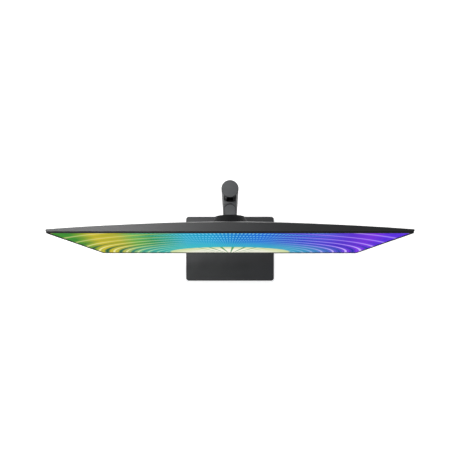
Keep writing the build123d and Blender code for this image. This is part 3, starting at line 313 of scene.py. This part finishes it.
def arched(tree, colour, across, side, up, depth):
    """Lays the arches over a colour: a dark valley and a pale crest in each, and fine threads between."""
    arches = add(tree, "Math", {0: depth, 1: ARCH_RATE * 2 * pi}, operation="MULTIPLY")["Value"]
    arch_wave = add(tree, "Math", {0: arches}, operation="SINE")["Value"]
    threads = add(tree, "Math", {0: arches, 1: THREADS_PER_ARCH}, operation="MULTIPLY")["Value"]
    thread_wave = add(tree, "Math", {0: threads}, operation="SINE")["Value"]

    # where the arches show: away from the middle, and more strongly low down
    flanks = add(tree, "MapRange", {"Value": side, "From Min": 0.2, "From Max": 0.5},
                 interpolation_type="SMOOTHSTEP")["Result"]
    low_down = add(tree, "MapRange", {"Value": up, "From Min": 0.8, "From Max": 0.15, "To Min": 0.22,
                                      "To Max": 1.0}, interpolation_type="SMOOTHSTEP")["Result"]
    right = add(tree, "MapRange", {"Value": across, "From Min": -0.2, "From Max": 0.3},
                interpolation_type="SMOOTHSTEP")["Result"]

    # valleys, green on the left and blue on the right
    valley = add(tree, "MapRange", {"Value": arch_wave, "From Min": -0.2, "From Max": -0.9},
                 interpolation_type="SMOOTHSTEP")["Result"]
    valley_low = add(tree, "Math", {0: valley, 1: low_down}, operation="MULTIPLY")["Value"]
    valley_share = add(tree, "Math", {0: valley_low, 1: flanks}, operation="MULTIPLY")["Value"]
    deep = add(tree, "Mix", {"Factor": right, "A": linear("#0a5a1c"), "B": linear("#1a0cb0")},
               data_type="RGBA")["Result"]
    banded = add(tree, "Mix", {"Factor": valley_share, "A": colour, "B": deep},
                 data_type="RGBA")["Result"]

    # crests, cream on the left and lilac on the right
    crest = add(tree, "MapRange", {"Value": arch_wave, "From Min": 0.72, "From Max": 1.0,
                                   "To Max": 0.9}, interpolation_type="SMOOTHSTEP")["Result"]
    crest_low = add(tree, "Math", {0: low_down, 1: 0.7, 2: 0.4}, operation="MULTIPLY_ADD")["Value"]
    crest_flanks = add(tree, "Math", {0: crest, 1: flanks}, operation="MULTIPLY")["Value"]
    crest_share = add(tree, "Math", {0: crest_flanks, 1: crest_low}, operation="MULTIPLY")["Value"]
    pale = add(tree, "Mix", {"Factor": right, "A": linear("#e6df8e"), "B": linear("#c6a6ff")},
               data_type="RGBA")["Result"]
    crested = add(tree, "Mix", {"Factor": crest_share, "A": banded, "B": pale},
                  data_type="RGBA")["Result"]

    # threads
    thread = add(tree, "MapRange", {"Value": thread_wave, "From Min": 0.5, "From Max": 1.0,
                                    "To Max": 0.07}, interpolation_type="SMOOTHSTEP")["Result"]
    thread_share = add(tree, "Math", {0: thread, 1: flanks}, operation="MULTIPLY")["Value"]
    return add(tree, "Mix", {"Factor": thread_share, "A": crested, "B": linear("#f4f0ff")},
               data_type="RGBA")["Result"]


def dotted(tree, colour, side, depth, turn):
    """Lays rows of pale dots over the middle, along the arches and the spokes."""
    columns = add(tree, "Math", {0: turn, 1: DOT_SPOKES}, operation="MULTIPLY")["Value"]
    rows = add(tree, "Math", {0: depth, 1: DOT_ROWS}, operation="MULTIPLY")["Value"]
    grid = add(tree, "CombineXYZ", {"X": columns, "Y": rows})["Vector"]
    reach = add(tree, "TexVoronoi", {"Vector": grid, "Scale": 1.0, "Randomness": 0.0})["Distance"]
    dot = add(tree, "MapRange", {"Value": reach, "From Min": 0.30, "From Max": 0.20, "To Max": 0.62},
              interpolation_type="SMOOTHSTEP")["Result"]
    middle = add(tree, "MapRange", {"Value": side, "From Min": 0.66, "From Max": 0.2},
                 interpolation_type="SMOOTHSTEP")["Result"]
    dot_share = add(tree, "Math", {0: dot, 1: middle}, operation="MULTIPLY")["Value"]
    return add(tree, "Mix", {"Factor": dot_share, "A": colour, "B": linear("#86e4f6")},
               data_type="RGBA")["Result"]


def with_lens(tree, colour, scaled, side, turn):
    """Lays the lens over a colour: a glow round it, cream inside, and green ribs that spread upwards."""
    lens_place = add(tree, "VectorMath", {0: scaled, 1: (1 / LENS_HALF_WIDTH, 0.0, 1 / LENS_HEIGHT)},
                     operation="MULTIPLY")["Vector"]
    lens = add(tree, "VectorMath", {0: lens_place}, operation="LENGTH")["Value"]
    glow = add(tree, "MapRange", {"Value": lens, "From Min": 2.0, "From Max": 1.0, "To Max": 0.6},
               interpolation_type="SMOOTHSTEP")["Result"]
    glowing = add(tree, "Mix", {"Factor": glow, "A": colour, "B": linear("#35c0c0")},
                  data_type="RGBA")["Result"]
    ribs = add(tree, "Math", {0: turn, 1: LENS_RIBS}, operation="MULTIPLY")["Value"]
    rib_wave = add(tree, "Math", {0: ribs}, operation="SINE")["Value"]
    near = add(tree, "MapRange", {"Value": side, "From Min": 0.08, "From Max": 0.3, "To Min": 0.9,
                                  "To Max": 0.3}, interpolation_type="SMOOTHSTEP")["Result"]
    rib_line = add(tree, "MapRange", {"Value": rib_wave, "From Min": 0.55, "From Max": 0.95},
                   interpolation_type="SMOOTHSTEP")["Result"]
    rib = add(tree, "Math", {0: rib_line, 1: near}, operation="MULTIPLY")["Value"]
    fade = add(tree, "MapRange", {"Value": lens, "From Min": 0.5, "From Max": 1.0},
               interpolation_type="SMOOTHSTEP")["Result"]
    cream = add(tree, "Mix", {"Factor": fade, "A": linear("#f8f5e6"), "B": linear("#d3dea2")},
                data_type="RGBA")["Result"]
    ribbed = add(tree, "Mix", {"Factor": rib, "A": cream, "B": linear("#2f8f4a")},
                 data_type="RGBA")["Result"]
    inside_lens = add(tree, "MapRange", {"Value": lens, "From Min": 1.02, "From Max": 0.97},
                      interpolation_type="SMOOTHSTEP")["Result"]
    return add(tree, "Mix", {"Factor": inside_lens, "A": glowing, "B": ribbed},
               data_type="RGBA")["Result"]


def bordered(tree, colour, side, up):
    """Keeps a colour inside the lit part and leaves the printed border round it black."""
    from_middle = add(tree, "Math", {0: up, 1: 0.5}, operation="SUBTRACT")["Value"]
    tall = add(tree, "Math", {0: from_middle}, operation="ABSOLUTE")["Value"]
    within_sides = add(tree, "Math", {0: side, 1: PICTURE_HALF}, operation="LESS_THAN")["Value"]
    within_ends = add(tree, "Math", {0: tall, 1: 0.5}, operation="LESS_THAN")["Value"]
    within = add(tree, "Math", {0: within_sides, 1: within_ends}, operation="MULTIPLY")["Value"]
    return add(tree, "Mix", {"Factor": within, "A": linear("#000000"), "B": colour},
               data_type="RGBA")["Result"]


def lit_display(name):
    """A liquid-crystal cell under an anti-glare film, showing a fan of coloured arches.

    The picture is worked out from the place on the glass, in picture heights: rings round a point
    under the bottom edge, spokes out of it, colours from green on the left through cyan and blue
    to violet on the right, and a lens of cream light that rises at the bottom. The film hardly
    mirrors the room, which a low index of refraction gives to the eye.
    """
    made, tree, shader = material(name, "#050506", 0.45, ior=1.02)
    place = add(tree, "TexCoord")["Object"]

    # the place on the picture: x from its middle, z up from its bottom edge
    start = (-picture_middle / picture_height, 0.0, -picture_bottom / picture_height)
    scaled = add(tree, "Mapping", {"Vector": place, "Location": start,
                                   "Scale": (1 / picture_height, 0.0, 1 / picture_height)})["Vector"]
    spot = add(tree, "SeparateXYZ", {"Vector": scaled})
    across = spot["X"]
    up = spot["Z"]
    side = add(tree, "Math", {0: across}, operation="ABSOLUTE")["Value"]

    # how far out and how far round from the fan's centre, a little under the picture
    centred = add(tree, "VectorMath", {0: scaled, 1: (0.0, 0.0, FAN_DROP)}, operation="ADD")["Vector"]
    reach = add(tree, "VectorMath", {0: centred}, operation="LENGTH")["Value"]
    raised = add(tree, "Math", {0: up, 1: FAN_DROP}, operation="ADD")["Value"]
    depth = add(tree, "Math", {0: reach, 1: e}, operation="LOGARITHM")["Value"]
    turn = add(tree, "Math", {0: across, 1: raised}, operation="ARCTAN2")["Value"]

    hues = leaning_hues(tree, across, up)
    arches = arched(tree, hues, across, side, up, depth)
    dots = dotted(tree, arches, side, depth, turn)
    picture = with_lens(tree, dots, scaled, side, turn)
    shown = bordered(tree, picture, side, up)
    tree.links.new(shown, shader.inputs["Emission Color"])
    shader.inputs["Emission Strength"].default_value = 1.0

    # the film's haze: bumps about 0.4 mm across
    haze = add(tree, "TexNoise", {"Vector": place, "Scale": 1 / (0.4 * MM)})
    bump = add(tree, "Bump", {"Height": haze["Fac"], "Distance": 0.004 * MM, "Strength": 0.6})
    tree.links.new(bump["Normal"], shader.inputs["Normal"])
    return made


STAND = powder_coated_steel("powder_coated_graphite", "#424446", "#4a4c4e")
# The arm's covers take the stand's paint drawn lighter: painted light standing in for the overhead light
# that the column's shadow keeps off the arm's top.
ARM_PAINTED_LIGHT = powder_coated_steel("powder_coated_arm_painted_light", "#5b5d5f", "#636567")
# The base plate's own paint is darker than the stand's, and it is taken a little darker still as painted
# shade for the panel's shadow over its front.
BASE_PAINTED_SHADE = powder_coated_steel("powder_coated_base_painted_shade", "#2f3032", "#353638")
SHELL = satin_moulded_abs("satin_moulded_abs", "#1d1e20", "#232426")
TEXTURED = spark_textured_abs("spark_textured_abs", "#232425", "#2a2b2c")
BEZEL = spark_textured_abs("spark_textured_bezel", "#18191a", "#1e1f20", size_mm=0.6, ior=1.2)
GLOSS = polished_black_abs("polished_black_abs")
STEEL = brushed_steel("brushed_bar_steel", "#9a9c9e", (1.0, 0.05, 1.0))
SPRING = brushed_steel("rolled_spring_steel", "#7f868f", (0.05, 1.0, 1.0))
ZINC = zinc_plated_steel("zinc_plated_steel")
BLACK_STEEL = blackened_steel("black_oxide_steel")
RUBBER = nitrile_rubber("nitrile_rubber")
ACETAL = natural_acetal("natural_acetal")
BOARD = masked_circuit_board("masked_circuit_board")
ACRYLIC = clear_acrylic("clear_acrylic")
FILM = optical_film("diffusing_film", "#e9ebec")
REFLECTOR = optical_film("white_reflector_film", "#f5f5f4")
GOLD = gold_flash("gold_flashed_contacts")
LENS = light_pipe("milky_light_pipe")
INK = printed_mark("pad_printed_ink")
SCREEN = lit_display("lit_liquid_crystal_display")

BY_SLOT = {
    "base_paint": BASE_PAINTED_SHADE, "stand_paint": STAND, "painted_shell": SHELL, "dark_plastic": TEXTURED,
    "black_gloss": GLOSS, "steel": STEEL, "zinc": ZINC, "black_screws": BLACK_STEEL,
    "spring_steel": SPRING, "rubber_feet": RUBBER, "nylon": ACETAL, "screen": SCREEN,
    "film": FILM, "acrylic": ACRYLIC, "reflector": REFLECTOR, "board": BOARD, "led_lens": LENS,
}
SLOT_OF = {row["node"]: row["material_slot"] for row in frame["record"]["subparts"]}
for node_name, node in frame["nodes"].items():
    node.data.materials.clear()
    node.data.materials.append(BY_SLOT[SLOT_OF[node_name]])

BODY_OF = {}
for body_name, names in frame["record"]["behaviour"]["bodies"].items():
    for node_name in names:
        BODY_OF[node_name] = body_name


# ---------------------------------------------------------------- pieces that stand for a CAD node
def piece(name, shape, finish, body):
    """Turns a finished bmesh into an object that rides on a body."""
    mesh = bpy.data.meshes.new(name)
    shape.to_mesh(mesh)
    shape.free()
    mesh.materials.append(finish)
    made = bpy.data.objects.new(name, mesh)
    bpy.context.scene.collection.objects.link(made)
    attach(made, body)
    return made


def shade(shape, angle=28.0):
    """Smooth shading with hard lines where two faces meet at more than an angle."""
    for face in shape.faces:
        face.smooth = True
    for edge in shape.edges:
        edge.smooth = len(edge.link_faces) != 2 or edge.calc_face_angle(0.0) < radians(angle)


def finished(node_name, finish=None):
    """A smooth-shaded copy of a CAD node's surface that stands for that node."""
    shape = bmesh.new()
    shape.from_mesh(frame["nodes"][node_name].data)
    bmesh.ops.remove_doubles(shape, verts=shape.verts, dist=0.002 * MM)
    shade(shape)
    slot = SLOT_OF[node_name]
    made = piece(node_name + "_finished", shape, finish or BY_SLOT[slot], BODY_OF[node_name])
    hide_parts(node_name)


for node_name in ("arm_cover_top", "arm_cover_bottom", "arm_collar"):
    finished(node_name, ARM_PAINTED_LIGHT)
for node_name in ("rear_cover", "column_shell", "column_cap", "column_core", "cable_grommet",
                  "base_plate", "jog_cap", "port_bay", "base_feet", "mount_plate", "tilt_bracket",
                  "arm_yoke"):
    finished(node_name)
for node_name in ("front_frame", "chin_strip", "head_cover"):
    finished(node_name, BEZEL)


# ---------------------------------------------------------------- small pieces
BACKWARDS = Matrix.Rotation(-pi / 2, 4, "X")  # turns a shape that faces up to face the back


def verts_of(items):
    """The vertices among the geometry that an operator returns."""
    return [item for item in items if isinstance(item, bmesh.types.BMVert)]


def rim_of(items):
    """The edges among the geometry that an operator returns which join its own vertices."""
    verts = set(verts_of(items))
    return [item for item in items if isinstance(item, bmesh.types.BMEdge)
            and all(vert in verts for vert in item.verts)]


def edges_at(verts):
    """Each edge that meets one of the vertices, once, in the same order each time."""
    return list(dict.fromkeys(edge for vert in verts for edge in vert.link_edges))


def middle_of(node_name):
    """The middle of a CAD node's box, in millimetres."""
    low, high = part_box(node_name)
    return [(a + b) / 2 / MM for a, b in zip(low, high)]


def block(shape, low, high):
    """Adds a box between two corners given in millimetres."""
    middle = [(a + b) / 2 * MM for a, b in zip(low, high)]
    size = [(b - a) * MM for a, b in zip(low, high)]
    place = Matrix.Translation(middle) @ Matrix.Diagonal((*size, 1.0))
    bmesh.ops.create_cube(shape, size=1.0, matrix=place)


def ring(shape, centre, inner, outer, depth, sides=32):
    """Adds a flat ring with square edges that faces backwards; all sizes are in millimetres."""
    made = bmesh.ops.create_circle(shape, cap_ends=False, radius=outer * MM, segments=sides)
    hole = bmesh.ops.extrude_edge_only(shape, edges=edges_at(made["verts"]))["geom"]
    hole_verts = verts_of(hole)
    bmesh.ops.scale(shape, vec=(inner / outer, inner / outer, 1.0), verts=hole_verts)
    faces = [item for item in hole if isinstance(item, bmesh.types.BMFace)]
    lift_verts = verts_of(bmesh.ops.extrude_face_region(shape, geom=faces)["geom"])
    bmesh.ops.translate(shape, vec=(0.0, 0.0, depth * MM), verts=lift_verts)
    every = made["verts"] + hole_verts + lift_verts
    place = Matrix.Translation([c * MM for c in centre]) @ BACKWARDS
    bmesh.ops.transform(shape, matrix=place, verts=every)
    own_faces = list(dict.fromkeys(face for vert in every for face in vert.link_faces))
    bmesh.ops.recalc_face_normals(shape, faces=own_faces)


# Gold strips on both faces of the tongue in each connector. For each, in millimetres: its middle,
# the tongue's width, the contacts on a face, and half the tongue's thickness.
TONGUES = [(-96.0, 10.0, 10, 0.6), (-70.0, 10.0, 10, 0.6), (-42.0, 11.0, 10, 0.7),
           (-16.0, 6.6, 12, 0.35), (10.0, 11.0, 4, 0.9), (34.0, 11.0, 4, 0.9)]
contact_half_width = 0.28  # of the pitch
contact_thickness = 0.06
contact_start = 1.0
contact_end = 9.0
mouth_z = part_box("wide_video_sockets")[0][2] / MM
tongue_y = middle_of("wide_video_sockets")[1]
contacts = bmesh.new()
for middle, width, count, half_thickness in TONGUES:
    pitch = width / count
    for index in range(count):
        x = middle - width / 2 + (index + 0.5) * pitch
        for face in (-1, 1):
            near = tongue_y + face * half_thickness
            near_y, far_y = sorted((near, near + face * contact_thickness))
            block(contacts, (x - pitch * contact_half_width, near_y, mouth_z + contact_start),
                  (x + pitch * contact_half_width, far_y, mouth_z + contact_end))
piece("connector_contacts", contacts, GOLD, "display")

# Marks printed on the bay's back wall under the connectors: an outline for each flat one, in
# millimetres its middle and its width, and a ring for each round one
OUTLINES = [(-96.0, 9.0), (-70.0, 9.0), (-42.0, 9.0), (-16.0, 5.0), (10.0, 7.0), (34.0, 7.0)]
ROUND_MIDDLES = (60.0, 96.0)
bay_low, bay_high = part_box("port_bay")
mark_y = bay_low[1] / MM + 1.6
mark_z = bay_high[2] / MM - 12.0
mark_half_height = 1.9
mark_line = 0.5
ink_thickness = 0.08
marks = bmesh.new()
for middle, width in OUTLINES:
    half = width / 2
    inner_half = half - mark_line
    inner_height = mark_half_height - mark_line
    strokes = [(-half, inner_height, half, mark_half_height),
               (-half, -mark_half_height, half, -inner_height),
               (-half, -mark_half_height, -inner_half, mark_half_height),
               (inner_half, -mark_half_height, half, mark_half_height)]
    for left, bottom, right, top in strokes:
        block(marks, (middle + left, mark_y, mark_z + bottom),
              (middle + right, mark_y + ink_thickness, mark_z + top))
for middle in ROUND_MIDDLES:
    ring(marks, (middle, mark_y, mark_z), inner=1.8, outer=2.3, depth=ink_thickness)
piece("connector_marks", marks, INK, "display")

# Rubber lips that close the column's slot on each side of the carriage's neck
core_low, core_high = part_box("column_core")
lip_outer = 7.2
lip_inner = 6.75
lip_front = core_low[1] / MM + 1.2
lip_back = core_low[1] / MM + 3.4
lip_bottom = 252.0
lip_top = core_high[2] / MM - 1.0
lip_round = 0.12
lips = bmesh.new()
for side in (-1, 1):
    near_x, far_x = sorted((side * lip_outer, side * lip_inner))
    block(lips, (near_x, lip_front, lip_bottom), (far_x, lip_back, lip_top))
sharp = [edge for edge in lips.edges if edge.calc_face_angle(0.0) > radians(25)]
bmesh.ops.bevel(lips, geom=sharp, offset=lip_round * MM, segments=2, affect="EDGES", profile=0.5,
                material=-1)
shade(lips, 40.0)
piece("slot_lips", lips, RUBBER, "stand")

# A wire gauze behind the vents keeps dust out. Its mesh is drawn at 2.5 mm, coarser than a real
# one, so that it shows.
gauze_size = (372.0 * MM, 20.0 * MM)
gauze_middle = (0.0, -17.5 * MM, 600.0 * MM)
gauze_wire = 0.6 * MM
gauze_place = Matrix.Translation(gauze_middle) @ BACKWARDS @ Matrix.Diagonal((*gauze_size, 1.0, 1.0))
gauze = bmesh.new()
bmesh.ops.create_grid(gauze, x_segments=150, y_segments=8, size=0.5, matrix=gauze_place)
bmesh.ops.wireframe(gauze, faces=gauze.faces[:], thickness=gauze_wire, use_replace=True,
                    use_boundary=True, use_even_offset=True)
bmesh.ops.recalc_face_normals(gauze, faces=gauze.faces)
piece("vent_gauze", gauze, BLACK_STEEL, "display")

# A strip of black rubber along the rim of the arm's top cover, rounded at its end round the swivel, is
# painted shade: it darkens the seam between the cover and the collar as the shadow in that gap would. Its
# section is spun round the swivel, then drawn forward on both sides, and leans with the cover.
joints = {row["name"]: row for row in frame["record"]["behaviour"]["joints"]}
swivel_y = joints["swivel"]["pos_m"][1]
arm_low, arm_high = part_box("arm_cover_top")
cover_points = [vert.co for vert in frame["nodes"]["arm_cover_top"].data.vertices]
arm_front_top = max(point.z for point in cover_points if point.y < arm_low[1] + 0.1 * MM)
arm_rise = (arm_high[2] - arm_front_top) / (arm_high[1] - arm_low[1])
arm_top_at_swivel = arm_high[2] - arm_rise * (arm_high[1] - swivel_y)
seam_shade_inset = 1.4 * MM
seam_shade_width = 1.2 * MM
seam_shade_below = 0.2 * MM
seam_shade_above = 0.12 * MM
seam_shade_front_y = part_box("head_cover")[1][1] + 2.0 * MM
seam_shade_radius = arm_high[1] - swivel_y - seam_shade_inset
seam_shade_turn = acos((arm_high[0] - seam_shade_inset) / seam_shade_radius)
section_place = Matrix.Translation((seam_shade_radius, 0.0, (seam_shade_above - seam_shade_below) / 2)) @ BACKWARDS
section_size = Matrix.Diagonal((seam_shade_width, seam_shade_above + seam_shade_below, 1.0, 1.0))
slope = Matrix.Identity(4)
slope[2][1] = arm_rise
seam_shade = bmesh.new()
bmesh.ops.create_grid(seam_shade, x_segments=1, y_segments=1, size=0.5,
                      matrix=Matrix.Rotation(seam_shade_turn, 4, "Z") @ section_place @ section_size)
first_end = seam_shade.faces[:]
arc = bmesh.ops.spin(seam_shade, geom=first_end, axis=(0.0, 0.0, 1.0), cent=(0.0, 0.0, 0.0), steps=24,
                     angle=pi - 2 * seam_shade_turn)["geom_last"]
last_end = [item for item in arc if isinstance(item, bmesh.types.BMFace)]
for arc_end in (first_end, last_end):
    leg = bmesh.ops.extrude_face_region(seam_shade, geom=arc_end)["geom"]
    for vert in verts_of(leg):
        vert.co.y = seam_shade_front_y - swivel_y
    left_inside = [face for face in arc_end if face.is_valid]
    bmesh.ops.delete(seam_shade, geom=left_inside, context="FACES_ONLY")
bmesh.ops.transform(seam_shade, verts=seam_shade.verts,
                    matrix=Matrix.Translation((0.0, swivel_y, arm_top_at_swivel)) @ slope)
bmesh.ops.recalc_face_normals(seam_shade, faces=seam_shade.faces)
shade(seam_shade)
piece("arm_seam_painted_shade", seam_shade, RUBBER, "arm")

# Speaker grilles under the bottom edge: two rails joined by slats
speaker_x = 165.0
grille_half = 27.0
grille_depth = 0.5
bar_width = 1.0
slat_count = 24
slat_pitch = (2 * grille_half - bar_width) / (slat_count - 1)
rail_front_y = -27.0
rail_back_y = -14.0
grille_gap = 0.02
grille_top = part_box("front_frame")[0][2] / MM - grille_gap
grille_bottom = grille_top - grille_depth
grilles = bmesh.new()
for side in (-1, 1):
    left = side * speaker_x - grille_half
    right = side * speaker_x + grille_half
    for rail_y in (rail_front_y, rail_back_y):
        block(grilles, (left, rail_y, grille_bottom), (right, rail_y + bar_width, grille_top))
    for index in range(slat_count):
        x = left + index * slat_pitch
        block(grilles, (x, rail_front_y + bar_width, grille_bottom),
              (x + bar_width, rail_back_y, grille_top))
piece("speaker_grilles", grilles, TEXTURED, "display")

# Four raised dots round the joystick's cap show its directions, and a ring its press
cap_x, _, cap_z = middle_of("jog_cap")
cap_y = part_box("jog_cap")[1][1] / MM
dot_reach = 5.2
dot_radius = 0.55
dot_flattening = Matrix.Diagonal((1.0, 0.5, 1.0, 1.0))
press_sink = 0.05
joystick_marks = bmesh.new()
for index in range(4):
    angle = index * pi / 2
    spot = Vector((cap_x + dot_reach * cos(angle), cap_y, cap_z + dot_reach * sin(angle))) * MM
    bmesh.ops.create_uvsphere(joystick_marks, u_segments=12, v_segments=8, radius=dot_radius * MM,
                              matrix=Matrix.Translation(spot) @ dot_flattening)
shade(joystick_marks, 60.0)
ring(joystick_marks, (cap_x, cap_y - press_sink, cap_z), inner=2.4, outer=2.8, depth=0.12)
piece("joystick_marks", joystick_marks, INK, "jog_button")

# Blackened steel rings round the four wall-mount screw holes in the rear cover
mount_half = 50.0
ring_sink = 0.02
mount_face_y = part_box("wall_mount_bracket")[1][1] / MM
panel_middle_z = middle_of("front_frame")[2]
mount_rings = bmesh.new()
for x in (-mount_half, mount_half):
    for z in (-mount_half, mount_half):
        centre = (x, mount_face_y - ring_sink, panel_middle_z + z)
        ring(mount_rings, centre, inner=2.1, outer=3.9, depth=0.25, sides=24)
piece("mount_hole_rings", mount_rings, BLACK_STEEL, "display")

# Two cones in each loudspeaker, behind its grille, closed at the back. The profile runs inwards
# from the rim over the surround and the cone to the dome: radius and height in millimetres.
CONE_PROFILE = [(4.6, 0.35), (4.0, 0.0), (1.6, -1.4), (0.8, -0.9)]
cone_rim = 5.2
cone_back = -2.2
cone_offset = 14.0
_, cone_y, _ = middle_of("speakers")
cone_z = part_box("speakers")[0][2] / MM - 0.4
cones = bmesh.new()
for side in (-1, 1):
    for offset in (-cone_offset, cone_offset):
        outline = bmesh.ops.create_circle(cones, cap_ends=False, radius=cone_rim * MM, segments=32)["verts"]
        rim = edges_at(outline)
        back = bmesh.ops.extrude_edge_only(cones, edges=rim)["geom"]
        bmesh.ops.translate(cones, verts=verts_of(back), vec=(0.0, 0.0, cone_back * MM))
        bmesh.ops.contextual_create(cones, geom=rim_of(back))
        every = outline + verts_of(back)
        radius = cone_rim
        for next_radius, lift in CONE_PROFILE:
            grown = bmesh.ops.extrude_edge_only(cones, edges=rim)["geom"]
            grown_verts = verts_of(grown)
            rim = rim_of(grown)
            bmesh.ops.scale(cones, vec=(next_radius / radius, next_radius / radius, 1.0), verts=grown_verts)
            for vert in grown_verts:
                vert.co.z = lift * MM
            radius = next_radius
            every += grown_verts
        bmesh.ops.contextual_create(cones, geom=rim)
        spot = Vector((side * speaker_x + offset, cone_y, cone_z)) * MM
        facing_down = Matrix.Translation(spot) @ Matrix.Rotation(pi, 4, "X")
        bmesh.ops.transform(cones, verts=every, matrix=facing_down)
bmesh.ops.recalc_face_normals(cones, faces=cones.faces)
shade(cones, 50.0)
piece("speaker_cones", cones, RUBBER, "display")


# ---------------------------------------------------------------- floor, light and camera
def seamless_paper(name):
    """White studio paper lit from below, so that it stays white under the object's shadow."""
    made, tree, shader = material(name, "#f2f2f1", 0.9)
    place, noise = grain(tree, shader, 3.0, 0.02, 0.3)
    shader.inputs["Emission Color"].default_value = linear("#ffffff")
    shader.inputs["Emission Strength"].default_value = 0.6
    varied_gloss(tree, shader, noise["Fac"], 0.85, 0.95)
    return made


floor_shape = bmesh.new()
bmesh.ops.create_grid(floor_shape, x_segments=1, y_segments=1, size=12.0)
floor_mesh = bpy.data.meshes.new("floor")
floor_shape.to_mesh(floor_mesh)
floor_shape.free()
floor_mesh.materials.append(seamless_paper("white_seamless_paper"))
floor = bpy.data.objects.new("floor", floor_mesh)
bpy.context.scene.collection.objects.link(floor)

# The plain transform keeps the screen's saturated colours and lets the paper reach white
bpy.context.scene.view_settings.view_transform = "Standard"

# White walls all round, and above them a dimmer ceiling, by the height of a direction in degrees
wall_top = 14
ceiling_edge = 34
ceiling_strength = 0.12
world = bpy.data.worlds.new("soft_room")
world.use_nodes = True
walls = world.node_tree
direction = add(walls, "TexCoord")["Generated"]
height = add(walls, "SeparateXYZ", {"Vector": direction})["Z"]
room_light = add(walls, "MapRange", {"Value": height, "From Min": sin(radians(wall_top)),
                                     "From Max": sin(radians(ceiling_edge)), "To Min": 1.0,
                                     "To Max": ceiling_strength}, interpolation_type="SMOOTHSTEP")
walls.nodes["Background"].inputs["Color"].default_value = linear("#ffffff")
walls.links.new(room_light["Result"], walls.nodes["Background"].inputs["Strength"])
bpy.context.scene.world = world


def softbox(name, place, aim, size, watts):
    """A square area light aimed at a point."""
    lamp = bpy.data.lights.new(name, "AREA")
    lamp.size = size
    lamp.energy = watts
    made = bpy.data.objects.new(name, lamp)
    made.location = place
    made.rotation_euler = (Vector(aim) - Vector(place)).to_track_quat("-Z", "Y").to_euler()
    bpy.context.scene.collection.objects.link(made)


softbox("rear_overhead", place=(-0.4, 1.2, 2.5), aim=(0.0, 0.1, 0.4), size=1.0, watts=13.0)
softbox("overhead_left", place=(-0.78, 0.18, 2.3), aim=(-0.2, 0.05, 0.5), size=0.6, watts=21.0)
softbox("rear_wall", place=(-0.7, 2.2, 1.2), aim=(0.0, 0.0, 0.4), size=1.0, watts=4.0)
softbox("front_fill", place=(0.7, -2.0, 1.9), aim=(0.0, 0.0, 0.3), size=1.2, watts=2.5)

# The camera looks straight down from 1.56 m. Its frame is shifted back, so that the stand and the
# panel sit in the frame's middle.
camera_data = bpy.data.cameras.new("camera")
camera_data.sensor_width = 36.0
camera_data.lens = 36.94
camera_data.shift_y = 0.1458
camera = bpy.data.objects.new("camera", camera_data)
camera.location = (0.0, -0.1587, 1.5558)
camera.rotation_euler = (0.0, 0.0, 0.0)
bpy.context.scene.collection.objects.link(camera)
bpy.context.scene.camera = camera
